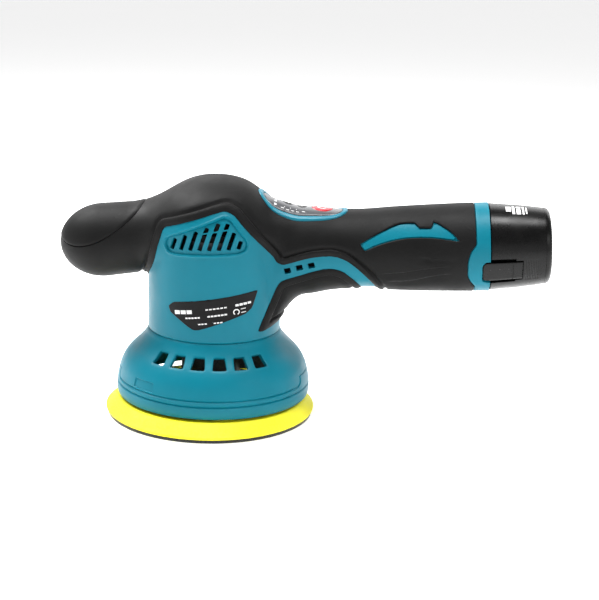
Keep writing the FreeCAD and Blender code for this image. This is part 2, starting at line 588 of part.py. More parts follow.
def make_skirt():
    wall = "skirt_wall"
    outer = [("skirt_lip_radius", "skirt_bottom"), ("skirt_radius", "skirt_bottom + 2"),
             ("skirt_knee_radius", "skirt_knee"), ("arc", "skirt_mid_radius", "skirt_mid_z"),
             ("shoulder_radius_top", "shoulder_z"), ("arc", "neck_radius", "neck_z"),
             ("collar_radius", "mount_base")]
    inner = [("skirt_flange_inner", "mount_base"),
             ("skirt_flange_inner", "mount_base - skirt_flange_thick"),
             ("collar_radius - skirt_wall", "mount_base - skirt_flange_thick"),
             ("arc", "neck_radius - skirt_wall * 0.8", "neck_z - skirt_wall * 0.8"),
             ("shoulder_radius_top - skirt_wall * 0.8", "shoulder_z - skirt_wall"),
             ("arc", "skirt_mid_radius - skirt_wall", "skirt_mid_z - skirt_wall * 0.5"),
             ("skirt_knee_radius - skirt_wall", "skirt_knee"),
             ("skirt_lip_radius - skirt_wall", "skirt_bottom")]
    shell = turned("skirt_shell", outer + inner)
    low = dim("window_low")
    high = dim("window_high")
    wide = dim("window_low_width") / 2
    narrow = dim("window_high_width") / 2
    start = dim("window_inner_radius")
    openings = []
    for side in (-90.0, 90.0):
        for index in range(WINDOWS_PER_SIDE):
            outline = Part.makePolygon([Vector(start, -wide, low), Vector(start, wide, low),
                                        Vector(start, narrow, high), Vector(start, -narrow, high),
                                        Vector(start, -wide, low)])
            hole = doc.addObject("Part::Feature", "window")
            hole.Shape = Part.Face(outline).extrude(Vector(start, 0, 0))
            from_middle = index - (WINDOWS_PER_SIDE - 1) / 2
            middle = side - math.copysign(dim("window_shift"), side)
            openings.append(spun(hole, middle + from_middle * dim("window_pitch")))
    for angle in steps(SKIRT_BOLTS):
        hole = doc.addObject("Part::Cylinder", "skirt_bolt_hole")
        bind(hole, Radius="skirt_bolt_radius", Height="skirt_flange_thick + 4")
        hole.Placement.Base = Vector(dim("skirt_bolt_circle"), 0, dim("mount_base") - 5)
        openings.append(spun(hole, angle))
    piece(cut("skirt_part", shell, fuse("skirt_openings", openings)), "skirt")
    bolts = []
    for angle in steps(SKIRT_BOLTS):
        bolt = doc.addObject("Part::Cylinder", "skirt_bolt")
        bind(bolt, Radius="skirt_bolt_radius", Height="skirt_flange_thick + mount_thick")
        bolt.Placement.Base = Vector(dim("skirt_bolt_circle"), 0,
                                     dim("mount_base") - dim("skirt_flange_thick"))
        bolts.append(spun(bolt, angle))
    piece(group("skirt_bolts", bolts), "skirt_screws")


# ---------------------------------------------------------------- housing forms

def grip_form(name, inset, base="column_base"):
    """Column, dome, palm knob and handle in one, drawn in by a depth all round."""
    column = cylinder(name + "_column", f"column_radius - ({inset})", f"dome_centre - ({base})",
                      (0, 0, base))
    dome = doc.addObject("Part::Ellipsoid", name + "_dome")
    bind(dome, Radius1=f"dome_height - ({inset})", Radius2=f"column_radius - ({inset})",
         Radius3=f"column_radius - ({inset})")
    place(dome, (0, 0, "dome_centre"))
    nose = doc.addObject("Part::Ellipsoid", name + "_nose")
    bind(nose, Radius1=f"knob_nose - ({inset})", Radius2=f"knob_radius - ({inset})",
         Radius3=f"knob_radius - ({inset})")
    nose.Placement = KNOB_FRAME * Placement(Vector(0, 0, dim("knob_nose")), Rotation())
    stem = doc.addObject("Part::Cone", name + "_stem")
    bind(stem, Radius1=f"knob_radius - ({inset})", Radius2=f"knob_root_radius - ({inset})",
         Height="knob_length - knob_nose")
    stem.Placement = nose.Placement
    rings = []
    for x, centre, half_height, half_width in NECK_SECTIONS:
        ring = doc.addObject("Part::Ellipse", name + "_section")
        bind(ring, MajorRadius=f"{half_height} - ({inset})", MinorRadius=f"{half_width} - ({inset})")
        ring.Placement = Placement(Vector(x, 0, centre), Rotation(Vector(0, 1, 0), 90))
        rings.append(ring)
    last_ring = doc.addObject("Part::Ellipse", name + "_section")
    bind(last_ring, MajorRadius=f"handle_radius - ({inset})", MinorRadius=f"handle_radius - ({inset})")
    last_ring.Placement = HANDLE_FRAME
    neck = doc.addObject("Part::Loft", name + "_neck")
    neck.Sections = rings + [last_ring]
    neck.Solid = True
    parts = [column, dome, nose, stem, neck]
    for start, end, first, last in (("0", "handle_mid", "handle_radius", "handle_mid_radius"),
                                    ("handle_mid", "handle_end + 4", "handle_mid_radius",
                                     "handle_end_radius")):
        handle = doc.addObject("Part::Cone", name + "_handle")
        bind(handle, Radius1=f"{first} - ({inset})", Radius2=f"{last} - ({inset})",
             Height=f"{end} - ({start})")
        handle.Placement = HANDLE_FRAME * Placement(Vector(0, 0, number(start)), Rotation())
        parts.append(handle)
    return fuse(name, parts)


def slot_prism(index):
    """One slanted vent slot with round ends, cut right through both sides."""
    lean = math.radians(SLOT_LEAN)
    along = Vector(math.sin(lean), 0, math.cos(lean))
    foot = Vector(SLOT_FIRST[0] + index * SLOT_STEP[0], 0, SLOT_FIRST[1] + index * SLOT_STEP[1])
    reach = FAR
    for (x1, z1), (x2, z2) in SLOT_ROOF:
        slope = (z2 - z1) / (x2 - x1)
        run = (z1 + slope * (foot.x - x1) - foot.z) / (along.z - slope * along.x)
        reach = min(reach, run) if run > 0 else reach
    slot = doc.addObject("Part::Box", "slot")
    bind(slot, Length=SLOT_WIDTH, Width=2 * FAR, Height=reach)
    slot.Placement = (Placement(foot, Rotation(Vector(0, 1, 0), SLOT_LEAN))
                      * Placement(Vector(-SLOT_WIDTH / 2, -FAR, 0), Rotation()))
    return slot


def square_vent(x, z):
    width, height = SQUARE_VENT_SIZE
    vent = doc.addObject("Part::Box", "square_vent")
    bind(vent, Length=width, Width=2 * FAR, Height=height)
    vent.Placement = (Placement(Vector(x, 0, z), Rotation(Vector(0, 1, 0), -SQUARE_VENT_LEAN))
                      * Placement(Vector(-width / 2, -FAR, -height / 2), Rotation()))
    return vent


def panel_prism(name, half_length, half_width, base, x="panel_x"):
    """An upright oval prism under the control panel, from a height up past the surface."""
    oval = doc.addObject("Part::Ellipse", name + "_oval")
    bind(oval, MajorRadius=half_length, MinorRadius=half_width)
    place(oval, (x, 0, base))
    prism = doc.addObject("Part::Extrusion", name)
    prism.Base = oval
    prism.DirMode = "Custom"
    prism.Dir = Vector(0, 0, 1)
    prism.LengthFwd = 40
    prism.Solid = True
    return prism


def cross_cylinder(name, x, z, radius, start, end):
    """A cylinder along Y between two Y values."""
    item = doc.addObject("Part::Cylinder", name)
    bind(item, Radius=radius, Height=end - start)
    item.Placement = Placement(Vector(x, end, z), Rotation(Vector(1, 0, 0), 90))
    return item


def make_housing():
    outer = grip_form("outer_form", "0")
    skin = grip_form("skin_form", "grip_skin")
    hollow = grip_form("hollow_form", "shell_inset", "column_base - 5")
    raised = grip_form("raised_form", "-bezel_rise")
    teal = outline_prism("teal_region", TEAL_OUTLINE)
    insert = outline_prism("insert_region", INSERT_OUTLINE)
    feather = outline_prism("feather_region", FEATHER_OUTLINE)
    band = outline_prism("band_region", BAND_OUTLINE)
    knob_pad = outline_prism("knob_pad_region", KNOB_PAD_OUTLINE)
    near_half = box("near_half", (3 * FAR, FAR, 2 * FAR), (-FAR, -FAR, -FAR))
    far_half = box("far_half", (3 * FAR, FAR, 2 * FAR), (-FAR, 0, -FAR))

    bay = turned("bay", [("0", "bay_start"), ("bay_radius", "bay_start"),
                         ("bay_radius", "handle_end + 5"), ("0", "handle_end + 5")],
                 placement=HANDLE_FRAME)
    beyond = turned("beyond", [("0", "handle_end"), ("60", "handle_end"),
                               ("60", "handle_end + 40"), ("0", "handle_end + 40")],
                    placement=HANDLE_FRAME)
    band_block = common("band_block", [tube("band_ring", "1", "band_radius", "band_start",
                                            "handle_end", HANDLE_FRAME), band])
    stop = tube("stop_ring", "16", "40", "bay_start - 1", "bay_start", HANDLE_FRAME)
    shelf_edge = "board_half_width - shelf_overlap"
    shelves = [box("board_shelf", ("board_end - board_start", "column_radius", "shelf_thick"),
                   ("board_start", y, "board_z - shelf_thick"))
               for y in (f"-({shelf_edge}) - column_radius", shelf_edge)]
    bosses = [cross_cylinder("boss", x, z, "boss_radius", -40, 40) for x, z, _ in SCREW_PLACES]
    cavity = cut("cavity", hollow, fuse("inner_features", [stop] + shelves + bosses))
    covered = fuse("covered_form", [skin, band_block])
    shell = cut("hollow_shell", covered, cavity)
    bayed = cut("bay_shell", shell, fuse("bay_space", [bay, beyond]))
    notch = [("bay_radius - 1", "latch_start - latch_notch_gap"),
             ("band_radius + 5", "latch_start - latch_notch_gap"),
             ("band_radius + 5", "handle_end + 5"), ("bay_radius - 1", "handle_end + 5")]
    solid = cut("notched_shell", bayed, group("latch_notches", [
        sector("latch_notch", notch, "recess_sweep", side * dim("latch_angle"), HANDLE_FRAME)
        for side in (-1, 1)]))
    window = panel_prism("panel_window", "panel_half_length - panel_window_inset",
                         "panel_half_width - panel_window_inset", "board_z + board_thick")
    vents = [slot_prism(index) for index in range(SLOT_COUNT)]
    vents += [square_vent(x, z) for x, z in SQUARE_VENTS]
    bores = [cross_cylinder("screw_bore", x, z, "screw_radius", -dim("screw_depth"), 40)
             for x, z, _ in SCREW_PLACES]
    windowed = cut("windowed_shell", solid, window)
    vented = cut("vented_shell", windowed, group("vents", vents))
    open_shell = cut("open_shell", vented, group("screw_bores", bores))
    heads = group("head_seats", [cross_cylinder("head_seat", x, z, "screw_head_radius + head_gap",
                                                seat, FAR) for x, z, seat in SCREW_PLACES])
    piece(common("near_shell", [open_shell, near_half]), "left_housing")
    piece(common("far_shell", [cut("seated_shell", open_shell, heads), far_half]),
          "right_housing")

    layer = cut("layer", outer, skin)
    oval = panel_prism("panel_oval", "panel_half_length", "panel_half_width", "board_z")
    inner_oval = panel_prism("panel_inner", "panel_half_length - bezel_width",
                             "panel_half_width - bezel_width", "board_z")
    black = cut("black_layer", layer, fuse("uncovered", [teal, feather, band, knob_pad, oval]))
    seated_black = cut("seated_black", black, heads)
    for side, source, half in (("left", black, near_half), ("right", seated_black, far_half)):
        half_black = common(side + "_black", [source, half])
        piece(cut(side + "_grip", half_black, insert), side + "_grip_skin")
        piece(common(side + "_insert", [half_black, insert]), side + "_finger_insert")
    piece(common("knob_pad", [layer, knob_pad]), "knob_pad")

    frame_ring = cut("bezel_prism", oval, inner_oval)
    piece(cut("bezel", common("bezel_block", [raised, frame_ring]), skin), "panel_bezel")
    buttons = [("power_button", "power_x", "power_half_length"),
               ("speed_up_button", "faster_x", "key_half_length"),
               ("speed_down_button", "slower_x", "key_half_length")]
    holes = []
    for label, x, half_length in buttons:
        key = panel_prism(label + "_prism", half_length, f"{half_length} * button_ratio",
                          "button_base", x)
        piece(common(label + "_key", [raised, key]), label)
        holes.append(panel_prism(label + "_hole", f"{half_length} + button_gap",
                                 f"{half_length} * button_ratio + button_gap", "board_z", x))
    membrane = common("membrane_block", [outer, inner_oval])
    piece(cut("membrane", membrane, fuse("membrane_voids", [skin] + holes)), "panel_membrane")

    plate_layer = tube("plate_layer", "column_radius - grip_skin",
                       "column_radius - grip_skin + plate_rise", "column_base", "dome_centre")
    plate = common("near_plate", [plate_layer, outline_prism("name_region", NAME_OUTLINE),
                                  near_half])
    piece(plate, "left_name_plate")
    piece(mirrored("far_plate", plate), "right_name_plate")

    screws = []
    for x, z, seat in SCREW_PLACES:
        head = cross_cylinder("screw_head", x, z, "screw_head_radius", seat,
                              seat + dim("screw_head_height"))
        shank = cross_cylinder("screw_shank", x, z, "screw_radius", -dim("screw_depth"), seat)
        screws.append(fuse("screw", [head, shank]))
    piece(group("screws", screws), "housing_screws")


# ---------------------------------------------------------------- controls and wiring

def make_controls():
    piece(box("board", ("board_end - board_start", "2 * board_half_width", "board_thick"),
              ("board_start", "-board_half_width", "board_z")), "control_board")
    top = "board_z + board_thick"
    switches = []
    for x in ("power_x", "faster_x", "slower_x"):
        body = box("switch_body", ("switch_size", "switch_size", "switch_height"),
                   (f"{x} - switch_size / 2", "-switch_size / 2", top))
        plunger = cylinder("switch_plunger", "plunger_radius", "plunger_height",
                           (x, 0, top + " + switch_height"))
        switches.append(fuse("switch", [body, plunger]))
    piece(group("switches", switches), "tact_switches")
    lamps = [cylinder("lamp", "led_radius", f"led_top - ({top})",
                      ("led_row_x", f"led_pitch * {index}", top)) for index in (-2, -1, 0, 1, 2)]
    piece(group("lamps", lamps), "speed_leds")


def make_lead(name, points):
    """A round wire along straight runs joined by tangent arcs."""
    corners = [Vector(*point) for point in points]
    edges = []
    start = corners[0]
    for before, corner, after in zip(corners, corners[1:], corners[2:]):
        arriving = (corner - before).normalize()
        leaving = (after - corner).normalize()
        half_turn = arriving.getAngle(leaving) / 2
        back = 0.45 * min((corner - before).Length, (after - corner).Length)
        radius = back / math.tan(half_turn)
        first = corner - arriving * back
        last = corner + leaving * back
        inward = (leaving - arriving).normalize()
        middle = corner + inward * (radius / math.cos(half_turn) - radius)
        edges.append(Part.LineSegment(start, first).toShape())
        edges.append(Part.Arc(first, middle, last).toShape())
        start = last
    edges.append(Part.LineSegment(start, corners[-1]).toShape())
    path = Part.Wire(edges)
    section = Part.Wire(Part.makeCircle(dim("lead_radius"), corners[0], corners[1] - corners[0]))
    wire = doc.addObject("Part::Feature", name)
    wire.Shape = path.makePipeShell([section], True, False)
    return wire


def make_wiring():
    block = turned("block", [("0", "block_start"), ("block_radius", "block_start"),
                             ("block_radius", "block_end"), ("0", "block_end")],
                   placement=HANDLE_FRAME)
    blades = []
    for index in (-1, 0, 1):
        blade = doc.addObject("Part::Box", "blade")
        bind(blade, Length="blade_width", Width="contact_thick", Height="blade_end - blade_start")
        blade.Placement = HANDLE_FRAME * Placement(
            Vector(-dim("blade_width") / 2,
                   index * dim("blade_pitch") - dim("contact_thick") / 2,
                   dim("blade_start")), Rotation())
        blades.append(blade)
    row = group("blades", blades)
    piece(cut("terminal_part", block, row), "terminal_block")
    piece(row, "terminal_blades")

    for label, route, places in (("battery_leads", SUPPLY_ROUTE, SUPPLY_PLACES),
                                 ("motor_leads", MOTOR_ROUTE, MOTOR_PLACES)):
        leads = [make_lead("lead", [(x, y, z) for x, z in route]) for y in places]
        piece(group(label + "_pair", leads), label)


# ---------------------------------------------------------------- battery

def make_battery():
    case = [("case_bore", "sleeve_start + front_wall"), ("0", "sleeve_start + front_wall"),
            ("0", "sleeve_start"), ("sleeve_radius - 1", "sleeve_start"),
            ("sleeve_radius", "sleeve_start + 1"), ("sleeve_radius", "case_start"),
            ("case_radius", "case_start"), ("case_mid_radius", "case_mid"),
            ("case_end_radius", "case_end"), ("case_bore", "case_end")]
    shell = turned("case", case, placement=HANDLE_FRAME)
    voids = []
    for side in (-1, 1):
        direction = side * dim("latch_angle")
        voids.append(sector("recess", [("recess_radius", "case_start - 1"), ("30", "case_start - 1"),
                                       ("30", "recess_end"), ("recess_radius", "recess_end")],
                            "recess_sweep", direction, HANDLE_FRAME))
        hole = doc.addObject("Part::Cylinder", "pin_hole")
        bind(hole, Radius="pin_radius", Height="pin_length")
        hole.Placement = pin_placement(direction)
        voids.append(hole)
    for index in (-1, 0, 1):
        slot = doc.addObject("Part::Box", "contact_slot")
        bind(slot, Length="blade_width + 2 * contact_room", Height="front_wall + 2",
             Width="contact_thick + 2 * contact_room")
        slot.Placement = HANDLE_FRAME * Placement(
            Vector(-dim("blade_width") / 2 - dim("contact_room"),
                   index * dim("blade_pitch") - dim("contact_thick") / 2 - dim("contact_room"),
                   dim("sleeve_start") - 1), Rotation())
        voids.append(slot)
    piece(cut("case_part", shell, fuse("case_voids", voids)), "battery_case")

    cap = [("0", "case_end"), ("case_end_radius", "case_end"),
           ("cap_corner_radius + 2.3", "cap_corner - 2.4"),
           ("arc", "cap_corner_radius + 1.6", "cap_corner - 0.4"),
           ("cap_corner_radius - 0.4", "cap_corner + 1.0"),
           ("cap_corner_radius / 2", "battery_end"), ("0", "battery_end")]
    piece(turned("cap", cap, placement=HANDLE_FRAME), "battery_end_cap")
    cells = []
    for angle in steps(CELL_COUNT, 180.0):
        cell = doc.addObject("Part::Cylinder", "cell")
        bind(cell, Radius="cell_radius", Height="cell_length")
        cell.Placement.Base = Vector(dim("cell_circle"), 0, dim("cell_start"))
        cells.append(spun(cell, angle, HANDLE_FRAME))
    piece(group("cells", cells), "battery_cells")
    piece(tube("pack_disc", "1", "case_bore", "pack_board", "pack_board + pack_board_thick",
               HANDLE_FRAME), "battery_board")

    springs = []
    for side, name in ((-1, "left"), (1, "right")):
        direction = side * dim("latch_angle")
        tab = [("latch_inner", "latch_start"), ("latch_outer", "latch_start"),
               ("latch_outer - latch_taper", "latch_end"), ("latch_root_inner", "latch_end"),
               ("latch_root_inner", "latch_root_start"), ("latch_inner", "latch_root_start - 2")]
        hole = doc.addObject("Part::Cylinder", "tab_hole")
        bind(hole, Radius="pin_radius + pin_gap", Height="pin_length")
        hole.Placement = pin_placement(direction)
        piece(cut(name + "_tab", sector(name + "_tab_block", tab, "latch_sweep", direction,
                                        HANDLE_FRAME), hole), name + "_battery_latch")
        springs.append(sector(name + "_leaf", [
            ("recess_radius", "spring_start"), ("recess_radius + spring_thick", "spring_start"),
            ("recess_radius + spring_thick", "spring_end"), ("recess_radius", "spring_end")],
            "spring_sweep", direction, HANDLE_FRAME))
    piece(group("springs", springs), "latch_springs")
    pins = []
    for side in (-1, 1):
        pin = doc.addObject("Part::Cylinder", "pin")
        bind(pin, Radius="pin_radius", Height="pin_length")
        pin.Placement = pin_placement(side * dim("latch_angle"))
        pins.append(pin)
    piece(group("pins", pins), "latch_pins")


def pin_placement(direction):
    """Where a latch pin lies: across the latch, square to its radius."""
    across = Placement(Vector(dim("pin_offset"), dim("pin_length") / 2, dim("pin_station")),
                       Rotation(Vector(1, 0, 0), 90))
    turn = Placement(Vector(), Rotation(Vector(0, 0, 1), direction))
    return HANDLE_FRAME * turn * across


make_pad()
make_drive()
make_motor()
make_skirt()
make_housing()
make_controls()
make_wiring()
make_battery()


# ---------------------------------------------------------------- check and write

def write_parts():
    doc.recompute()
    broken = [item.Name for item in doc.Objects
              if "Invalid" in item.State or "Error" in item.State]
    if broken:
        raise RuntimeError("failed objects: " + ", ".join(broken))
    os.makedirs("parts", exist_ok=True)
    for item in pieces:
        shape = item.Shape
        if shape.isNull() or not shape.isValid() or not shape.Solids:
            raise RuntimeError(item.Label + " has no valid solid")
        shape.exportStep(f"parts/{item.Label}.step")
        print(f"{item.Label:24s} solids {len(shape.Solids):3d}  volume {shape.Volume:10.1f}")
    print(len(pieces), "nodes")


write_parts()
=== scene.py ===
"""Looks of the cordless orbital sander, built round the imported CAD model.

Shapes are worked out in millimetres in the CAD frame (origin on the motor axis at the floor, +Z up,
+X towards the battery) and turned into metres when a mesh is made. The grips and housings are
patches of one smooth body surface: each patch is clipped along its outlines, lifted to its own
height and closed into a solid shell.
"""
import json
import math

import bmesh
import bpy
import numpy as np
from mathutils import Matrix, Vector

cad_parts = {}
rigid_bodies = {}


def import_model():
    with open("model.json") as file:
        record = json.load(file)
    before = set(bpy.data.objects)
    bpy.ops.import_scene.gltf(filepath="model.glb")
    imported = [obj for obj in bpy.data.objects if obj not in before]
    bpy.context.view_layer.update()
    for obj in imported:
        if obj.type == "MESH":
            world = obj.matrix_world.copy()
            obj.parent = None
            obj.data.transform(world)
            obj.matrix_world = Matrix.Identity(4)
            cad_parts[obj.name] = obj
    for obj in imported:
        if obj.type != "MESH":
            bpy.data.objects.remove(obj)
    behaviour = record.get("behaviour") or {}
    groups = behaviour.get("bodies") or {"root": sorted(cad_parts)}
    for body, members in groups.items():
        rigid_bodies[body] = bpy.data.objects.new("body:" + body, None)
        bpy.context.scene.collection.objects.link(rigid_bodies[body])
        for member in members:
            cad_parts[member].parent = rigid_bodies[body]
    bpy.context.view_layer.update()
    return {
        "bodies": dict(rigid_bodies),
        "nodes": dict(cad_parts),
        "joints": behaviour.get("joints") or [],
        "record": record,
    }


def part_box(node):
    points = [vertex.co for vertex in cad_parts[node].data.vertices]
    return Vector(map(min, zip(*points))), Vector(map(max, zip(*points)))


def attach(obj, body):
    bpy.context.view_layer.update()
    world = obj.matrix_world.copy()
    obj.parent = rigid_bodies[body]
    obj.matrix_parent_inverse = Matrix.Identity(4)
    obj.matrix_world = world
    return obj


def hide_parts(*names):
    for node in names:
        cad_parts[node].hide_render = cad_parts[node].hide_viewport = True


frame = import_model()
MM = 0.001
JOINTS = {joint["name"]: joint for joint in frame["joints"]}


def cad_box(node):
    """The lowest and highest corner of a CAD node, in millimetres."""
    low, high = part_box(node)
    return np.array(low) / MM, np.array(high) / MM


# ---------------------------------------------------------------- driving dimensions

FOAM_LOW, FOAM_HIGH = cad_box("pad_foam")
PAD_CENTRE = (FOAM_LOW + FOAM_HIGH)[:2] / 2
HANDLE_AXIS = np.array(JOINTS["battery_slide"]["axis"])
HANDLE_RISE = math.atan2(HANDLE_AXIS[2], HANDLE_AXIS[0])
HANDLE_START = np.array([84.5, 0.0, 101.8])
COLUMN_BASE = cad_box("skirt")[1][2]
COLUMN_RADIUS = 40.6
DOME_CENTRE = 112.0
DOME_HEIGHT = 30.2
GRIP_SKIN = 1.2
SHELL_WALL = 2.4
KNOB_TIP = np.array([-92.1, 0.0, 97.1])
# Where the crown dips towards the knob and the handle: X, half width and depth.
DIPS = [(-29.0, 12.0, 1.7), (31.0, 10.0, 3.2)]
DIP_START, DIP_FULL = 110.0, 126.0
# How widely the knob and the neck blend into the column: low down, how much more above, and
# between which heights.
KNOB_BLEND = (2.5, 11.5, 84.0, 104.0)
NECK_BLEND = (3.0, 11.0, 88.0, 118.0)
KNOB_RISE = math.radians(7.7)
KNOB_NOSE = 26.0
KNOB_RADIUS = 21.6
KNOB_TAPER = 1.2 / 42.0
KNOB_LENGTH = 78.0
HANDLE_ROOT = 14.0
TINY = 1e-9
# How many points outline_distance takes at once, to keep its arrays small.
BATCH = 20000

# Neck and handle sections: X, centre Z, half height, half width.
SECTIONS = np.array([
    (20.0, 90.0, 41.0, 21.5), (28.0, 90.2, 40.6, 21.8), (36.0, 90.4, 39.0, 22.0),
    (42.0, 95.2, 32.2, 22.2), (48.0, 98.2, 27.9, 22.6), (60.0, 100.0, 25.6, 22.9),
    (72.0, 101.0, 23.9, 23.1), (84.5, 101.8, 23.5, 23.4), (103.0, 102.9, 24.5, 24.5),
    (122.0, 104.0, 25.3, 25.3), (141.0, 105.2, 25.8, 25.8), (165.0, 106.6, 26.1, 26.1)])


# ---------------------------------------------------------------- small maths

def smooth_step(low, high, value):
    t = np.clip((value - low) / (high - low), 0.0, 1.0)
    return t * t * (3 - 2 * t)


def smooth_min(a, b, blend):
    """The lower of two distances, rounded where they meet."""
    near = np.maximum(blend - np.abs(a - b), 0.0) / blend
    return np.minimum(a, b) - near * near * blend / 4


def smooth_curve(xs, ys, x):
    """A smooth curve through points, flat beyond its ends."""
    slopes = np.gradient(ys, xs)
    x = np.clip(x, xs[0], xs[-1])
    index = np.clip(np.searchsorted(xs, x) - 1, 0, len(xs) - 2)
    span = xs[index + 1] - xs[index]
    t = (x - xs[index]) / span
    return ((2 * t ** 3 - 3 * t ** 2 + 1) * ys[index] + (t ** 3 - 2 * t ** 2 + t) * span * slopes[index]
            + (3 * t ** 2 - 2 * t ** 3) * ys[index + 1] + (t ** 3 - t ** 2) * span * slopes[index + 1])


def round_outline(runs, step=0.8):
    """A closed outline as points, from runs that each start where the one before them ends."""
    points = []
    end = runs[-1][-1]
    for run in runs:
        run = np.array([end] + run, float)
        end = tuple(run[-1])
        if len(run) == 2:
            points.append(run[:1])
            continue
        lengths = np.r_[0.0, np.cumsum(np.linalg.norm(np.diff(run, axis=0), axis=1))]
        at = np.linspace(0.0, lengths[-1], max(4, int(lengths[-1] / step)), endpoint=False)
        points.append(np.stack([smooth_curve(lengths, run[:, k], at) for k in (0, 1)], axis=1))
    return np.concatenate(points)


def outline_distance(outline, u, v):
    """Signed distance from points to a closed outline, negative inside."""
    a = outline
    b = np.roll(outline, -1, axis=0)
    result = np.empty(len(u))
    for start in range(0, len(u), BATCH):
        pu = u[start:start + BATCH, None]
        pv = v[start:start + BATCH, None]
        eu, ev = (b - a).T
        wu, wv = pu - a[:, 0], pv - a[:, 1]
        t = np.clip((wu * eu + wv * ev) / (eu * eu + ev * ev + 1e-12), 0.0, 1.0)
        near = np.sqrt(((wu - t * eu) ** 2 + (wv - t * ev) ** 2).min(axis=1))
        above = a[:, 1] > pv
        crossing = (above != (b[:, 1] > pv)) & (
            pu < a[:, 0] + (pv - a[:, 1]) * eu / np.where(ev == 0, 1e-12, ev))
        inside = crossing.sum(axis=1) % 2 == 1
        result[start:start + BATCH] = np.where(inside, -near, near)
    return result


def rounded(u, v, corner):
    """Signed distance to a rounded box, from how far points lie past its corner's centre."""
    return np.hypot(np.maximum(u, 0), np.maximum(v, 0)) + np.minimum(np.maximum(u, v), 0) - corner


def slot_distance(u, v, centre, half_length, half_width, lean, corner):
    """Signed distance to a rounded bar whose long side leans from the V axis towards +U."""
    du, dv = u - centre[0], v - centre[1]
    along = np.abs(du * math.sin(lean) + dv * math.cos(lean)) - half_length + corner
    across = np.abs(du * math.cos(lean) - dv * math.sin(lean)) - half_width + corner
    return rounded(along, across, corner)


# ---------------------------------------------------------------- the smooth body

def oval_field(u, v, half_u, half_v):
    """About the signed distance to an oval with the given half widths."""
    k = np.sqrt((u / half_u) ** 2 + (v / half_v) ** 2) + TINY
    slope = np.sqrt((u / half_u ** 2) ** 2 + (v / half_v ** 2) ** 2) + TINY
    return k * (k - 1) / slope


def column_field(p):
    """The round column with its domed top."""
    radius = np.hypot(p[:, 0], p[:, 1])
    rise = np.maximum(p[:, 2] - DOME_CENTRE, 0.0)
    return oval_field(radius, rise, COLUMN_RADIUS, DOME_HEIGHT)


def knob_field(p):
    """The palm knob: a round nose, then a slight taper towards the dome."""
    q = p - KNOB_TIP
    along = q[:, 0] * math.cos(KNOB_RISE) + q[:, 2] * math.sin(KNOB_RISE)
    up = -q[:, 0] * math.sin(KNOB_RISE) + q[:, 2] * math.cos(KNOB_RISE)
    radius = np.hypot(q[:, 1], up)
    before = np.minimum(along - KNOB_NOSE, 0.0)
    size = KNOB_RADIUS - np.maximum(along - KNOB_NOSE, 0.0) * KNOB_TAPER
    return np.maximum(oval_field(radius, before, size, KNOB_NOSE), along - KNOB_LENGTH)


def handle_field(p):
    """The neck and handle, oval in section."""
    x = p[:, 0]
    centre, tall, wide = (smooth_curve(SECTIONS[:, 0], SECTIONS[:, k], x) for k in (1, 2, 3))
    return np.maximum(oval_field(p[:, 1], p[:, 2] - centre, wide, tall), HANDLE_ROOT - x)


def blend_width(z, least, more, low, high):
    return least + more * smooth_step(low, high, z)


def body_field(p):
    """Signed distance to the outside of the grips, dome and column."""
    z = p[:, 2]
    column = column_field(p)
    body = smooth_min(column, knob_field(p), blend_width(z, *KNOB_BLEND))
    body = smooth_min(body, handle_field(p), blend_width(z, *NECK_BLEND))
    dip = sum(depth * np.exp(-((p[:, 0] - x) / width) ** 2) for x, width, depth in DIPS)
    return body + dip * smooth_step(DIP_START, DIP_FULL, z)


def field_slope(p, field, step=0.02):
    slope = np.empty_like(p)
    for axis in range(3):
        shift = np.zeros(3)
        shift[axis] = step
        slope[:, axis] = (field(p + shift) - field(p - shift)) / (2 * step)
    return slope


def settle(p, field, level, rounds=4):
    """Moves points along the field's slope onto one of its levels."""
    for _ in range(rounds):
        slope = field_slope(p, field)
        size = np.maximum((slope ** 2).sum(axis=1), 0.05)
        p = p - slope * ((field(p) - level) / size)[:, None]
    return p


def surface_net(field, low, high, cell, level):
    """A triangle mesh of one level of a field, from a grid of cells."""
    counts = [int(math.ceil((h - l) / cell)) + 1 for l, h in zip(low, high)]
    axes = [low[k] + cell * np.arange(counts[k]) for k in range(3)]
    grid = np.stack(np.meshgrid(*axes, indexing="ij"), axis=-1)
    value = (field(grid.reshape(-1, 3)) - level).reshape(counts)
    inside = value < 0
    cells = [n - 1 for n in counts]
    corner_sum = np.zeros(cells, int)
    for i in (0, 1):
        for j in (0, 1):
            for k in (0, 1):
                corner_sum += inside[i:cells[0] + i, j:cells[1] + j, k:cells[2] + k]
    mixed = (corner_sum > 0) & (corner_sum < 8)
    number = -np.ones(cells, int)
    number[mixed] = np.arange(mixed.sum())
    index = np.argwhere(mixed)
    points = np.array(low) + cell * (index + 0.5)
    triangles = []
    for axis in range(3):
        other = [k for k in range(3) if k != axis]
        first = [slice(None)] * 3
        second = [slice(None)] * 3
        first[axis] = slice(0, -1)
        second[axis] = slice(1, None)
        change = inside[tuple(first)] != inside[tuple(second)]
        spots = np.argwhere(change)
        keep = np.all([(spots[:, k] > 0) & (spots[:, k] < counts[k] - 1) for k in other], axis=0)
        spots = spots[keep]
        corners = []
        for shift in ((0, 0), (-1, 0), (-1, -1), (0, -1)):
            at = spots.copy()
            at[:, other[0]] += shift[0]
            at[:, other[1]] += shift[1]
            corners.append(number[at[:, 0], at[:, 1], at[:, 2]])
        a, b, c, d = corners
        out = inside[spots[:, 0], spots[:, 1], spots[:, 2]]
        flip = out if axis != 1 else ~out
        triangles.append(np.where(flip[:, None], np.stack([a, b, c], 1), np.stack([a, c, b], 1)))
        triangles.append(np.where(flip[:, None], np.stack([a, c, d], 1), np.stack([a, d, c], 1)))
    faces = np.concatenate(triangles)
    return settle(points, field, level, rounds=6), faces


# ---------------------------------------------------------------- triangle work

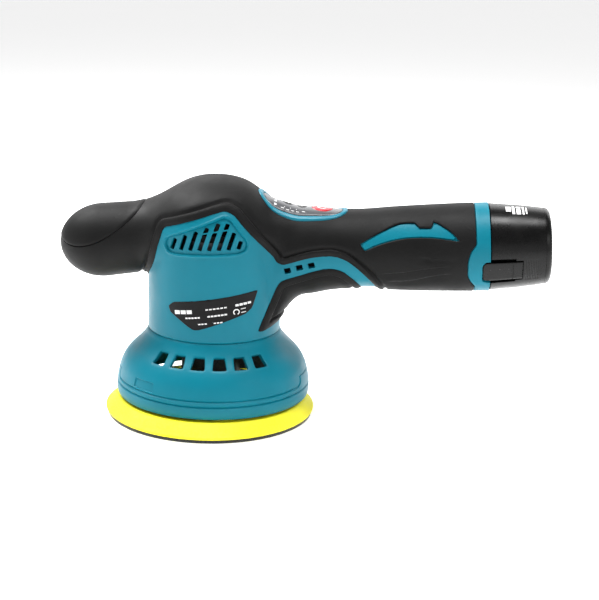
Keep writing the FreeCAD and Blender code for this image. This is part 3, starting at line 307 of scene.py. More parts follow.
# A point this near a cut, as a share of its shortest edge, is taken to lie on it.
SNAP = 0.12
# A scored line leaves an edge whole if one end is this near, in millimetres.
SCORE_LEAST = 0.03


def edge_list(faces):
    """The three edges of each triangle in turn, each with its lower point first."""
    return np.sort(np.stack([faces, np.roll(faces, -1, axis=1)], axis=2), axis=2).reshape(-1, 2)


def split_edges(points, faces, marked, place):
    """Splits marked edges at the points that place gives, and re-cuts the faces to match."""
    unique, back = np.unique(edge_list(faces), axis=0, return_inverse=True)
    back = back.reshape(-1)
    chosen = marked(unique)
    fresh = -np.ones(len(unique), int)
    fresh[chosen] = len(points) + np.arange(chosen.sum())
    points = np.concatenate([points, place(unique[chosen])])
    middle = fresh[back].reshape(-1, 3)
    cut = middle >= 0
    total = cut.sum(axis=1)
    result = [faces[total == 0]]
    for count in (1, 2, 3):
        rows = np.flatnonzero(total == count)
        if not len(rows):
            continue
        f, m, c = faces[rows], middle[rows], cut[rows]
        if count == 3:
            start = np.zeros(len(rows), int)
        elif count == 1:
            start = np.argmax(c, axis=1)
        else:
            start = (np.argmin(c, axis=1) + 1) % 3
        turn = (np.arange(3)[None, :] + start[:, None]) % 3
        f = np.take_along_axis(f, turn, axis=1)
        m = np.take_along_axis(m, turn, axis=1)
        a, b, c3 = f.T
        ab, bc, ca = m.T
        if count == 1:
            parts = [(a, ab, c3), (ab, b, c3)]
        elif count == 2:
            parts = [(ab, b, bc), (a, ab, bc), (a, bc, c3)]
        else:
            parts = [(a, ab, ca), (ab, b, bc), (ca, bc, c3), (ab, bc, ca)]
        result += [np.stack(part, axis=1) for part in parts]
    return points, np.concatenate(result)


def refine(points, faces, target, project, rounds=7):
    """Halves every edge that is longer than the target length at its middle."""
    for _ in range(rounds):
        def long_edges(edges):
            a, b = points[edges[:, 0]], points[edges[:, 1]]
            return np.linalg.norm(b - a, axis=1) > target((a + b) / 2)

        def middles(edges):
            return project((points[edges[:, 0]] + points[edges[:, 1]]) / 2)
        before = len(points)
        points, faces = split_edges(points, faces, long_edges, middles)
        if len(points) == before:
            break
    return points, faces


def split_at_zero(points, faces, value, least=0.0):
    """Splits each edge where value changes sign, unless an end is within least of zero."""
    def crossing(edges):
        ends = value[edges]
        return (ends[:, 0] * ends[:, 1] < 0) & (np.abs(ends).min(axis=1) > least)

    def zero_points(edges):
        a, b = value[edges].T
        t = (a / (a - b))[:, None]
        return points[edges[:, 0]] * (1 - t) + points[edges[:, 1]] * t
    return split_edges(points, faces, crossing, zero_points)


def score(points, faces, distance):
    """Adds a line of edges where distance is zero, and keeps both sides of it."""
    return split_at_zero(points, faces, distance(points), SCORE_LEAST)


def clip(points, faces, distance):
    """Keeps the part of a mesh where distance is negative, with a clean edge at zero."""
    value = distance(points)
    edges = np.unique(edge_list(faces), axis=0)
    length = np.linalg.norm(points[edges[:, 0]] - points[edges[:, 1]], axis=1)
    reach = np.full(len(points), np.inf)
    np.minimum.at(reach, edges[:, 0], length)
    np.minimum.at(reach, edges[:, 1], length)
    value = np.where(np.abs(value) < SNAP * np.where(np.isfinite(reach), reach, 1.0), 0.0, value)
    count = len(points)
    points, faces = split_at_zero(points, faces, value)
    value = np.concatenate([value, np.zeros(len(points) - count)])
    keep = value[faces].min(axis=1) < 0
    return tidy(points, faces[keep])


def tidy(points, faces):
    """Drops unused points and flat faces."""
    faces = faces[(faces[:, 0] != faces[:, 1]) & (faces[:, 1] != faces[:, 2])
                  & (faces[:, 2] != faces[:, 0])]
    used = np.unique(faces)
    number = -np.ones(len(points), int)
    number[used] = np.arange(len(used))
    return points[used], number[faces]


def border(faces):
    """The directed edges that only one face has."""
    edges = np.concatenate([faces[:, [0, 1]], faces[:, [1, 2]], faces[:, [2, 0]]])
    key = np.sort(edges, axis=1)
    _, back, count = np.unique(key, axis=0, return_inverse=True, return_counts=True)
    return edges[count[back.reshape(-1)] == 1]


def shell(points, faces, normals, top, bottom, open_edge=None):
    """A closed solid between two heights over a surface patch.

    Where open_edge(points) holds at both ends of a border edge, no side wall is made there.
    """
    count = len(points)
    upper = points + normals * top[:, None]
    lower = points + normals * bottom[:, None]
    edges = border(faces)
    if open_edge is not None:
        free = open_edge(points)
        edges = edges[~(free[edges[:, 0]] & free[edges[:, 1]])]
    a, b = edges.T
    walls = np.concatenate([np.stack([b, a, a + count], 1), np.stack([b, a + count, b + count], 1)])
    return np.concatenate([upper, lower]), np.concatenate([faces, faces[:, ::-1] + count, walls])


def mirror(points, faces):
    return points * np.array([1.0, -1.0, 1.0]), faces[:, ::-1]


def joined(*meshes):
    """Several meshes as one list of points and faces."""
    points, faces, count = [], [], 0
    for p, f in meshes:
        points.append(p)
        faces.append(f + count)
        count += len(p)
    return np.concatenate(points), np.concatenate(faces)


# ---------------------------------------------------------------- materials

def colour(red, green, blue):
    """Screen colour from 0 to 255, as the linear value that shaders take."""
    values = [channel / 255 for channel in (red, green, blue)]
    return tuple(v / 12.92 if v <= 0.04045 else ((v + 0.055) / 1.055) ** 2.4 for v in values) + (1.0,)


class Shader:
    """A short way to wire up one node material."""

    def __init__(self, name):
        self.material = bpy.data.materials.new(name)
        self.material.use_nodes = True
        self.tree = self.material.node_tree
        self.base = self.tree.nodes["Principled BSDF"]
        self.place = self.tree.nodes.new("ShaderNodeTexCoord").outputs["Object"]

    def node(self, kind, inputs=None, **settings):
        made = self.tree.nodes.new("ShaderNode" + kind)
        for key, value in settings.items():
            setattr(made, key, value)
        for key, value in (inputs or {}).items():
            if isinstance(value, bpy.types.NodeSocket):
                self.tree.links.new(value, made.inputs[key])
            else:
                made.inputs[key].default_value = value
        return made

    def noise(self, scale, detail=3.0, roughness=0.55, place=None):
        return self.node("TexNoise", {"Vector": place or self.place, "Scale": scale,
                                      "Detail": detail, "Roughness": roughness}).outputs["Fac"]

    def ramp(self, value, low, high, out_low, out_high):
        return self.node("MapRange", {"Value": value, "From Min": low, "From Max": high,
                                      "To Min": out_low, "To Max": out_high}).outputs["Result"]

    def mix(self, factor, first, second):
        made = self.node("Mix", data_type="RGBA")
        for socket, value in zip((made.inputs[0], made.inputs[6], made.inputs[7]),
                                 (factor, first, second)):
            if isinstance(value, bpy.types.NodeSocket):
                self.tree.links.new(value, socket)
            else:
                socket.default_value = value
        return made.outputs[2]

    def math(self, operation, first, second=0.0):
        return self.node("Math", {0: first, 1: second}, operation=operation).outputs[0]

    def bumps(self, *layers):
        """Stacks bumps, each a (height, strength, distance in metres) triple."""
        normal = None
        for height, strength, distance in layers:
            inputs = {"Height": height, "Strength": strength, "Distance": distance}
            if normal is not None:
                inputs["Normal"] = normal
            normal = self.node("Bump", inputs).outputs["Normal"]
        self.tree.links.new(normal, self.base.inputs["Normal"])

    def set(self, **inputs):
        for key, value in inputs.items():
            socket = self.base.inputs[key.replace("_", " ")]
            if isinstance(value, bpy.types.NodeSocket):
                self.tree.links.new(value, socket)
            else:
                socket.default_value = value
        return self.material


def moulded(name, base, lighter, rough, grain=1400.0, depth=0.00003, mottle=0.5, shine=0.5):
    """Injection-moulded plastic: fine spark texture, faint flow mottle and patchy roughness."""
    shader = Shader(name)
    flow = shader.noise(38.0, 4.0)
    fine = shader.noise(grain, 2.0, 0.6)
    tone = shader.ramp(flow, 0.35, 0.65, 0.0, mottle)
    shader.bumps((fine, 0.55, depth), (shader.noise(grain * 0.37, 1.0), 0.3, depth))
    return shader.set(Base_Color=shader.mix(tone, base, lighter), Specular_IOR_Level=shine,
                      Roughness=shader.ramp(shader.noise(90.0), 0.3, 0.7, rough - 0.05, rough + 0.06))


def elastomer(name, base, lighter):
    """Matte overmoulded rubber with a fine pebbled surface."""
    shader = Shader(name)
    cells = shader.node("TexVoronoi", {"Vector": shader.place, "Scale": 1500.0}).outputs["Distance"]
    fine = shader.noise(2600.0, 2.0)
    patches = shader.ramp(shader.noise(26.0, 5.0), 0.3, 0.7, 0.0, 1.0)
    dust = shader.ramp(shader.noise(420.0, 4.0, 0.7), 0.62, 0.78, 0.0, 0.35)
    shader.bumps((cells, 0.5, 0.00005), (fine, 0.5, 0.00003))
    return shader.set(Base_Color=shader.mix(dust, shader.mix(patches, base, lighter), lighter),
                      Roughness=shader.ramp(shader.noise(60.0), 0.3, 0.7, 0.50, 0.62),
                      Specular_IOR_Level=0.14)


def film(name, base, lighter, rough, coat=0.3, shine=0.5):
    """A printed polyester film: nearly flat, with faint ripple."""
    shader = Shader(name)
    ripple = shader.noise(55.0, 2.0)
    shader.bumps((ripple, 0.15, 0.0002), (shader.noise(1800.0, 1.0), 0.15, 0.00001))
    return shader.set(Base_Color=shader.mix(shader.ramp(ripple, 0.4, 0.6, 0.0, 1.0), base, lighter),
                      Roughness=shader.ramp(shader.noise(140.0), 0.3, 0.7, rough, rough + 0.08),
                      Specular_IOR_Level=shine, Coat_Weight=coat, Coat_Roughness=0.12)


def foam(name, base, lighter):
    """Moulded polyurethane foam: a smooth skin with small open pores and a mottled tone."""
    shader = Shader(name)
    pores = shader.node("TexVoronoi", {"Vector": shader.place, "Scale": 900.0},
                        feature="SMOOTH_F1").outputs["Distance"]
    open_pores = shader.ramp(shader.noise(300.0, 3.0, 0.6), 0.56, 0.70, 0.0, 1.0)
    tone = shader.ramp(shader.noise(30.0, 5.0), 0.3, 0.7, 0.0, 1.0)
    dip = shader.math("MULTIPLY", open_pores, shader.ramp(pores, 0.0, 0.45, 1.0, 0.0))
    skin = shader.mix(tone, base, lighter)
    shader.bumps((shader.math("SUBTRACT", 1.0, dip), 0.5, 0.00025), (pores, 0.35, 0.00008))
    # The open pores are also painted a darker yellow: painted shade inside the pores.
    return shader.set(Base_Color=shader.mix(shader.math("MULTIPLY", dip, 0.45), skin,
                                            colour(205, 190, 20)),
                      Roughness=shader.ramp(pores, 0.1, 0.6, 0.55, 0.72),
                      Subsurface_Weight=0.12, Subsurface_Radius=(0.004, 0.004, 0.001),
                      Subsurface_Scale=0.4)


def fabric(name, base, lighter):
    """The pile of hook fabric: short dense stubs."""
    shader = Shader(name)
    pile = shader.node("TexVoronoi", {"Vector": shader.place, "Scale": 1100.0}).outputs["Distance"]
    shader.bumps((pile, 0.9, 0.0004), (shader.noise(3000.0), 0.6, 0.0001))
    # The pile is painted darker in its hollows and lighter where it stands higher: painted shade and
    # highlight.
    tone = shader.ramp(pile, 0.1, 0.6, 0.0, 1.0)
    return shader.set(Base_Color=shader.mix(tone, base, lighter), Roughness=0.9, Sheen_Weight=0.3)


def metal(name, base, darker, rough, stretch=(1.0, 1.0, 14.0), grain=240.0, depth=0.00004):
    """Worked metal with tool marks that run round or along it."""
    shader = Shader(name)
    mapped = shader.node("Mapping", {"Vector": shader.place, "Scale": stretch}).outputs["Vector"]
    marks = shader.noise(grain, 3.0, 0.6, mapped)
    shader.bumps((marks, 0.35, depth))
    return shader.set(Base_Color=shader.mix(shader.ramp(marks, 0.3, 0.7, 0.0, 1.0), base, darker),
                      Metallic=1.0,
                      Roughness=shader.ramp(shader.noise(70.0, 4.0), 0.3, 0.7, rough, rough + 0.15))


# Each material: what makes it, its two colours, and what it sets besides.
RECIPES = {
    "teal_plastic": (moulded, (3, 107, 125), (7, 114, 133), {"rough": 0.40, "shine": 0.17}),
    "teal_trim": (moulded, (6, 108, 128), (9, 116, 136), {"rough": 0.32, "shine": 0.3}),
    "black_elastomer": (elastomer, (11, 11, 11), (17, 17, 17), {}),
    "membrane_film": (film, (62, 63, 66), (72, 73, 76), {"rough": 0.26}),
    "name_plate_film": (film, (7, 7, 8), (11, 11, 12), {"rough": 0.4, "coat": 0.0, "shine": 0.15}),
    "red_plastic": (moulded, (178, 16, 32), (196, 26, 42), {"rough": 0.28, "grain": 900.0}),
    "dark_grey_plastic": (moulded, (20, 20, 21), (28, 28, 29), {"rough": 0.5}),
    "battery_plastic": (moulded, (5, 5, 5), (8, 8, 8),
                        {"rough": 0.26, "grain": 1700.0, "depth": 0.00002, "shine": 0.25}),
    "board": (moulded, (18, 84, 46), (26, 102, 58), {"rough": 0.35, "grain": 600.0}),
    "switch_plastic": (moulded, (30, 30, 31), (40, 40, 42), {"rough": 0.5}),
    "lamp": (moulded, (225, 225, 215), (240, 240, 232), {"rough": 0.25, "grain": 500.0}),
    "zinc_steel": (metal, (198, 200, 203), (168, 171, 176), {"rough": 0.28}),
    "ground_steel": (metal, (205, 206, 208), (178, 180, 183), {"rough": 0.18}),
    "cast_alloy": (metal, (120, 121, 123), (96, 97, 99),
                   {"rough": 0.5, "stretch": (1.0, 1.0, 1.0), "grain": 700.0, "depth": 0.0001}),
    "ferrite": (moulded, (44, 44, 46), (58, 58, 60), {"rough": 0.6, "grain": 500.0, "depth": 0.0001}),
    "copper_winding": (metal, (190, 104, 58), (150, 74, 38),
                       {"rough": 0.32, "stretch": (1.0, 1.0, 30.0), "grain": 400.0, "depth": 0.0002}),
    "copper": (metal, (208, 130, 88), (176, 98, 62), {"rough": 0.25}),
    "carbon": (moulded, (34, 34, 35), (52, 52, 54), {"rough": 0.6, "grain": 700.0, "depth": 0.0001}),
    "wire_jacket": (moulded, (150, 26, 26), (170, 36, 34), {"rough": 0.4, "grain": 500.0}),
    "cell_wrap": (film, (40, 96, 168), (52, 110, 182), {"rough": 0.3}),
    "yellow_foam": (foam, (238, 226, 10), (246, 238, 36), {}),
    "hook_fabric": (fabric, (12, 12, 13), (50, 50, 52), {}),
    "print_white": (film, (214, 214, 214), (226, 226, 226), {"rough": 0.4}),
    # Near black and matte: painted shade for the strip behind the square vent holes.
    "vent_gauze": (moulded, (3, 4, 7), (6, 7, 11), {"rough": 0.9, "shine": 0.05}),
    # Near-black steel: painted shade on the latch pins and springs down in the latch gaps; the screws
    # use it too.
    "blackened_steel": (metal, (52, 53, 56), (34, 35, 37), {"rough": 0.4}),
}
MATERIALS = {name: maker(name, colour(*first), colour(*second), **options)
             for name, (maker, first, second, options) in RECIPES.items()}
SHARP_ANGLE = math.radians(32)
WELD = 2e-7


# ---------------------------------------------------------------- making pieces

def make_piece(name, mesh, body, slot, material=None, replaces=(), sharp=SHARP_ANGLE, weld=True):
    """A Blender object from points in millimetres and triangles or polygons."""
    points, faces = mesh
    data = bpy.data.meshes.new(name)
    data.from_pydata((np.asarray(points) * MM).tolist(), [],
                     faces.tolist() if isinstance(faces, np.ndarray) else faces)
    work = bmesh.new()
    work.from_mesh(data)
    if weld:
        bmesh.ops.remove_doubles(work, verts=work.verts, dist=WELD)
    bmesh.ops.recalc_face_normals(work, faces=work.faces)
    work.to_mesh(data)
    work.free()
    data.shade_smooth()
    data.set_sharp_from_angle(angle=sharp)
    data.materials.append(MATERIALS[material or slot])
    made = bpy.data.objects.new(name, data)
    bpy.context.scene.collection.objects.link(made)
    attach(made, body)
    if replaces:
        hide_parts(*replaces)
    return made


def handle_point(along, across, up=0.0):
    """A point in the handle's own frame: along its axis, sideways (Y) and up."""
    return np.stack([HANDLE_START[0] + along * math.cos(HANDLE_RISE) - up * math.sin(HANDLE_RISE),
                     across + 0 * along,
                     HANDLE_START[2] + along * math.sin(HANDLE_RISE) + up * math.cos(HANDLE_RISE)],
                    axis=-1)


def lathe(profile, segments=192, start=0.0, sweep=360.0, dent=None, frame="up", centre=(0, 0)):
    """A closed turned solid from a closed profile of (radius, height) points.

    dent(angle, radius, height) gives a radial shift. frame "handle" turns it about the handle axis,
    with angle 0 straight down and 90 degrees towards +Y.
    """
    profile = np.asarray(profile, float)
    full = sweep >= 360.0
    count = segments if full else segments + 1
    angle = math.radians(start) + np.linspace(0, math.radians(sweep), segments + 1)[:count]
    radius = np.tile(profile[:, 0], (count, 1))
    height = np.tile(profile[:, 1], (count, 1))
    angles = np.tile(angle[:, None], (1, len(profile)))
    if dent is not None:
        radius = radius + dent(angles, radius, height)
    a, r, h = angles.ravel(), radius.ravel(), height.ravel()
    if frame == "handle":
        points = handle_point(h, r * np.sin(a), -r * np.cos(a))
    else:
        points = np.stack([centre[0] + r * np.cos(a), centre[1] + r * np.sin(a), h], axis=-1)
    rows = len(profile)
    faces = []
    for i in range(segments):
        j = (i + 1) % count
        for k in range(rows):
            n = (k + 1) % rows
            if profile[k, 0] < 1e-6 and profile[n, 0] < 1e-6:
                continue
            faces.append((i * rows + k, j * rows + k, j * rows + n, i * rows + n))
    if not full:
        faces.append(tuple(range(rows)))
        faces.append(tuple(segments * rows + k for k in reversed(range(rows))))
    return points, faces


def arc_points(centre, radius, first, last, count=8):
    """Points of an arc in a profile, by angles in degrees."""
    angle = np.radians(np.linspace(first, last, count))
    return [(centre[0] + radius * math.cos(a), centre[1] + radius * math.sin(a)) for a in angle]


# ---------------------------------------------------------------- outlines on the body's sides

HANDLE_END = 75.6
BAY_START = 28.6
BAY_RADIUS = 21.6
LATCH_ANGLE = math.radians(66.0)
NOTCH_HALF = math.radians(16.5)
SLOT_HALF = math.radians(18.2)
NOTCH_START = 70.9
NOTCH_CORNER = 2.8
PANEL_X = 51.0
PANEL_SIZE = (26.6, 13.4)
BEZEL_WIDTH = 3.0
PANEL_FLOOR = 108.0
SCREWS = [(-66.0, 101.0), (-30.5, 72.0), (30.5, 62.0), (4.0, 130.0), (60.0, 84.0), (94.0, 96.0)]
SCREW_HOLE = 3.3

# Outlines of the parts on the sides, as X and Z. Each run goes on from the last point before it:
# one point is a straight line to it, more are a smooth curve through them.
OUTLINES = {name: round_outline(runs) for name, runs in {
    "teal": [
        [(-38.6, 83.0)], [(-33.6, 93.0), (-29.4, 106.9), (-27.1, 114.2)],
        [(-25.8, 116.0), (-23.0, 117.1)], [(3.0, 126.0)], [(9.4, 127.2), (14.3, 124.9)],
        [(36.0, 99.5)], [(38.3, 96.2), (41.8, 94.9)],
        [(61.1, 100.6), (70.5, 101.4), (77.3, 99.6),
         (84.2, 95.0), (90.1, 89.4), (94.3, 84.4), (99.0, 74.0)], [(90.0, 74.0)],
        [(84.8, 84.5), (80.6, 88.9), (75.7, 92.5), (69.9, 93.8), (61.4, 92.3), (51.3, 88.6)],
        [(43.4, 86.0)], [(40.2, 84.2), (38.2, 81.0)], [(29.3, 58.2)], [(29.0, 56.0), (31.4, 55.6)],
        [(48.0, 60.5)], [(48.0, 40.0)], [(-44.0, 40.0)], [(-44.0, 73.5)]],
    "insert": [
        [(24.0, 60.0)], [(39.0, 91.0)], [(60.0, 96.6)], [(72.0, 97.5), (82.0, 92.0), (92.0, 80.0)],
        [(94.0, 48.0)], [(24.0, 48.0)]],
    "feather": [
        [(88.1, 105.2)], [(95.9, 109.0), (108.3, 112.8), (125.2, 114.4), (142.9, 113.4)],
        [(136.3, 118.6), (127.3, 122.9)], [(125.8, 119.6)], [(119.3, 119.1)], [(116.4, 121.4)],
        [(107.9, 120.6), (99.5, 117.1), (91.2, 112.6), (85.6, 109.1)]],
    "band": [
        [(151.5, 112.3)], [(148.6, 108.1), (147.2, 102.2)], [(147.7, 94.0)],
        [(150.0, 89.4), (152.4, 86.8)], [(152.4, 60.0)], [(190.0, 60.0)], [(190.0, 145.0)],
        [(149.4, 145.0)]],
    "knob_pad": [
        [(-38.7, 129.0)],
        [(-45.7, 118.4), (-56.9, 109.0), (-71.1, 101.6),
         (-78.2, 100.1), (-84.1, 100.3), (-96.0, 106.0)], [(-96.0, 140.0)], [(-38.0, 140.0)]],
    "name": [
        [(-20.0, 73.4), (-15.7, 74.4)], [(28.1, 81.4)], [(25.2, 71.4)], [(21.8, 68.2)],
        [(-3.6, 59.0)], [(-7.3, 58.6), (-11.0, 60.4)], [(-21.6, 67.4)], [(-22.9, 70.6)]],
    "recess": [
        [(-24.4, 109.2), (-22.0, 111.2)], [(5.0, 122.3)], [(9.2, 123.6), (12.6, 121.8)],
        [(19.9, 112.4)], [(21.4, 108.4), (20.2, 105.6), (16.7, 104.3)], [(-19.3, 102.7)],
        [(-23.0, 103.4), (-24.8, 106.4)]]
}.items()}


def side_distance(name):
    """The signed distance to a named outline, seen along Y."""
    return lambda p: outline_distance(OUTLINES[name], p[:, 0], p[:, 2])


def ellipse_distance(u, v, half_u, half_v, power=2.0):
    """About the signed distance to an oval; a higher power gives it fuller corners."""
    a, b = np.abs(u / half_u), np.abs(v / half_v)
    k = (a ** power + b ** power) ** (1 / power) + TINY
    slope = np.hypot(a ** (power - 1) / half_u, b ** (power - 1) / half_v) + TINY
    return k ** (power - 1) * (k - 1) / slope


def panel_distance(p):
    """Signed distance to the panel's oval on the top of the handle, seen from above."""
    oval = ellipse_distance(p[:, 0] - PANEL_X, p[:, 1], *PANEL_SIZE, power=2.7)
    return np.maximum(oval, PANEL_FLOOR - p[:, 2])


KEY_RATIO = 0.95


def key_distance(x, half_length, gap=0.0):
    return lambda p: np.maximum(
        ellipse_distance(p[:, 0] - x, p[:, 1], half_length + gap, half_length * KEY_RATIO + gap),
        PANEL_FLOOR - p[:, 2])


def handle_station(p):
    """How far along the handle axis each point is, its radius, and its angle from straight down."""
    q = p - HANDLE_START
    along = q[:, 0] * math.cos(HANDLE_RISE) + q[:, 2] * math.sin(HANDLE_RISE)
    up = -q[:, 0] * math.sin(HANDLE_RISE) + q[:, 2] * math.cos(HANDLE_RISE)
    return along, np.hypot(q[:, 1], up), np.arctan2(np.abs(q[:, 1]), -up)


def notch_distance(p):
    """Signed distance to the gap that the battery latch lies in."""
    along, radius, angle = handle_station(p)
    u = (np.abs(angle - LATCH_ANGLE) - NOTCH_HALF) * radius + NOTCH_CORNER
    v = NOTCH_START - along + NOTCH_CORNER
    return rounded(u, v, NOTCH_CORNER)


def screw_distance(p):
    return np.min([np.hypot(p[:, 0] - x, p[:, 2] - z) - SCREW_HOLE for x, z in SCREWS], axis=0)


# Vents: slanted slots that stop at two sloping roof lines, and three square holes in the strip.
SLOT_COUNT = 8
SLOT_LEAN = math.radians(18.0)
SLOT_FOOT, SLOT_SHIFT = (-21.9, 104.3), (5.64, 0.27)
SLOT_HALF_WIDTH = 1.3
ROOF_LINES = (((-22.4, 109.8), (7.6, 122.2)), ((11.6, 121.0), (20.6, 108.6)))
SQUARES = ((44.4, 91.5), (51.2, 93.7), (58.1, 95.4))
SQUARE_SIZE = (1.65, 1.95)
STRIP_LEAN = -math.radians(15.0)
STRIP_REACH = 9.5
# The rib across the tall slots: centre, half length, half width, lean and corner.
VENT_RIB = ((3.6, 116.3), 8.5, 0.4, math.radians(80.0), 0.3)


def tall_slot(index):
    """One slanted slot, from its foot up to the nearer roof line."""
    foot = [start + shift * index for start, shift in zip(SLOT_FOOT, SLOT_SHIFT)]
    runs = []
    for (x1, z1), (x2, z2) in ROOF_LINES:
        slope = (z2 - z1) / (x2 - x1)
        runs.append((z1 + slope * (foot[0] - x1) - foot[1])
                    / (math.cos(SLOT_LEAN) - slope * math.sin(SLOT_LEAN)))
    length = min(run for run in runs if run > 0)
    centre = (foot[0] + length / 2 * math.sin(SLOT_LEAN), foot[1] + length / 2 * math.cos(SLOT_LEAN))
    return centre, length / 2, SLOT_HALF_WIDTH, SLOT_LEAN, 0.6


SLOTS = [tall_slot(index) for index in range(SLOT_COUNT)]
SLOTS += [(centre, *SQUARE_SIZE, STRIP_LEAN, 0.5) for centre in SQUARES]


def square_distance(p):
    """Signed distance to the strip that the three square holes are in."""
    return slot_distance(p[:, 0], p[:, 2], SQUARES[1], SQUARE_SIZE[0], STRIP_REACH, STRIP_LEAN, 0.5)


def vent_distance(p):
    """Signed distance to the nearest vent opening; one rib runs on across the tall slots."""
    openings = np.min([slot_distance(p[:, 0], p[:, 2], *slot) for slot in SLOTS], axis=0)
    return np.maximum(openings, -slot_distance(p[:, 0], p[:, 2], *VENT_RIB))


# ---------------------------------------------------------------- the body's base mesh

NET_LOW, NET_HIGH = (-96.0, -46.0, 46.0), (172.0, 3.0, 148.0)
NET_CELL = 1.6
FINE_EDGE, COARSE_EDGE = 0.8, 2.6
ON_PLANE = 1e-6


def body_base():
    """The left half of the surface that the housings and the grips share, as a fine mesh."""
    points, faces = surface_net(body_field, NET_LOW, NET_HIGH, NET_CELL, -GRIP_SKIN)
    points, faces = clip(points, faces, lambda p: p[:, 1])
    points[np.abs(points[:, 1]) < ON_PLANE, 1] = 0.0
    points, faces = clip(points, faces, lambda p: COLUMN_BASE - p[:, 2])
    points, faces = clip(points, faces, lambda p: handle_station(p)[0] - HANDLE_END)

    def target(p):
        fine = (vent_distance(p) < 2.0) | (panel_distance(p) < 0.5)
        return np.where(fine, FINE_EDGE, COARSE_EDGE)

    def project(p):
        flat = np.abs(p[:, 1]) < ON_PLANE
        low = np.abs(p[:, 2] - COLUMN_BASE) < ON_PLANE
        moved = settle(p, body_field, -GRIP_SKIN, rounds=2)
        moved[flat, 1] = 0.0
        moved[low] = p[low]
        return moved
    return refine(points, faces, target, project, rounds=3)


BASE_POINTS, BASE_FACES = body_base()


def patch(*cuts, scores=()):
    """Part of the base mesh: each cut keeps its negative side, each score only adds an edge line."""
    points, faces = BASE_POINTS, BASE_FACES
    for distance in cuts:
        points, faces = clip(points, faces, distance)
    for distance in scores:
        points, faces = score(points, faces, distance)
    points[np.abs(points[:, 1]) < ON_PLANE, 1] = 0.0
    normals = field_slope(points, body_field)
    normals[points[:, 1] == 0.0, 1] = 0.0
    return points, faces, normals / np.linalg.norm(normals, axis=1)[:, None]


def outside(distance):
    return lambda p: -distance(p)


def level(distance, value):
    return lambda p: distance(p) - value


def on_seam(points):
    return points[:, 1] == 0.0


def seam_groove(points, depth=0.25):
    """The small V where the two halves of a part meet."""
    return -depth * np.clip(1 - np.abs(points[:, 1]) / SEAM_HALF, 0.0, 1.0)


def seam_line(points):
    return points[:, 1] + SEAM_HALF


def make_sides(name, cuts, scores, heights, slot, replaced, screwed=True, **options):
    """A left piece and its mirror image, which has the screw holes as well.

    heights(points) gives the top and the bottom over the base surface.
    """
    for side in ("left", "right"):
        own_cuts = cuts + [outside(screw_distance)] if screwed and side == "right" else cuts
        points, faces, normals = patch(*own_cuts, scores=scores)
        top, bottom = heights(points)
        mesh = shell(points, faces, normals, top, bottom)
        if side == "right":
            mesh = mirror(*mesh)
        make_piece(f"{side}_{name}", mesh, "housing", slot, replaces=(f"{side}_{replaced}",),
                   weld=False, **options)


def make_joined(name, points, faces, normals, top, bottom, body, slot, **options):
    """A patch and its mirror image as one piece across the middle plane."""
    half = shell(points, faces, normals, top, bottom, open_edge=on_seam)
    return make_piece(name, joined(half, mirror(*half)), body, slot, **options)


# ---------------------------------------------------------------- housings and grips

teal_side = side_distance("teal")
insert_side = side_distance("insert")
feather_side = side_distance("feather")
band_side = side_distance("band")
knob_side = side_distance("knob_pad")
name_side = side_distance("name")
recess_side = side_distance("recess")

# Each pair: distances from an outline, and the height over the base surface at each.
RECESS_STEPS, RECESS_HEIGHTS = (0.1, 0.5, 0.85, 1.4, 2.1), (-1.15, -1.3, 0.1, 0.3, 0.0)
BAND_STEPS, BAND_HEIGHTS = (-1.0, -0.5, -0.25), (1.12, 0.9, 0.0)
FEATHER_STEPS, FEATHER_HEIGHTS = (-0.8, -0.45), (0.95, 0.0)
FOOT_ROUND, FOOT_DROP = 0.8, 0.6
SEAM_HALF = 0.35
# The strip behind the square holes is painted shade: how far it reaches past them, and its two depths.
VENT_SHADE_MARGIN = 1.6
VENT_SHADE_LEVELS = (-SHELL_WALL - 0.15, -SHELL_WALL - 0.55)


def make_housings():
    """The two moulded halves: vents, recess, raised band and inlay, with a real wall thickness."""
    def heights(p):
        top = np.interp(band_side(p), BAND_STEPS, BAND_HEIGHTS)
        top += np.interp(feather_side(p), FEATHER_STEPS, FEATHER_HEIGHTS)
        top += np.interp(recess_side(p), RECESS_STEPS, RECESS_HEIGHTS)
        top += seam_groove(p) + np.interp(p[:, 2] - COLUMN_BASE, [0.0, FOOT_ROUND], [-FOOT_DROP, 0.0])
        along, radius, _ = handle_station(p)
        bottom = np.where(along > BAY_START, BAY_RADIUS - radius, -SHELL_WALL)
        return top, bottom
    cuts = [outside(vent_distance), outside(notch_distance)]
    scores = [level(recess_side, step) for step in RECESS_STEPS]
    scores += [level(band_side, step) for step in BAND_STEPS]
    scores += [level(feather_side, step) for step in FEATHER_STEPS]
    scores += [seam_line, lambda p: p[:, 2] - COLUMN_BASE - FOOT_ROUND]
    make_sides("housing_shell", cuts, scores, heights, "teal_plastic", "housing")


def make_vent_shade_strip():
    """A near-black strip just inside the three square holes: painted shade behind them."""
    points, faces, normals = patch(level(square_distance, VENT_SHADE_MARGIN))
    top, bottom = (np.full(len(points), height) for height in VENT_SHADE_LEVELS)
    mesh = shell(points, faces, normals, top, bottom)
    for side, own in (("left", mesh), ("right", mirror(*mesh))):
        make_piece(side + "_vent_gauze", own, "housing", "dark_grey_plastic",
                   material="vent_gauze", weld=False)


LIP_SCORES = (0.35, 1.4, 2.6, 3.3, 3.9, 4.3, 4.8, 5.8, 6.8)


def lip_profile(distance, crest, groove, main):
    """The overmould's edge: a sloping lip, a fine groove, then the main surface."""
    rise = crest - 0.5
    return np.interp(distance, (0.0,) + LIP_SCORES,
                     [0.3, 0.5, 0.5 + 0.65 * rise, crest, crest - 0.1, groove + 0.3, groove,
                      groove + 0.2, main - 0.18, main])


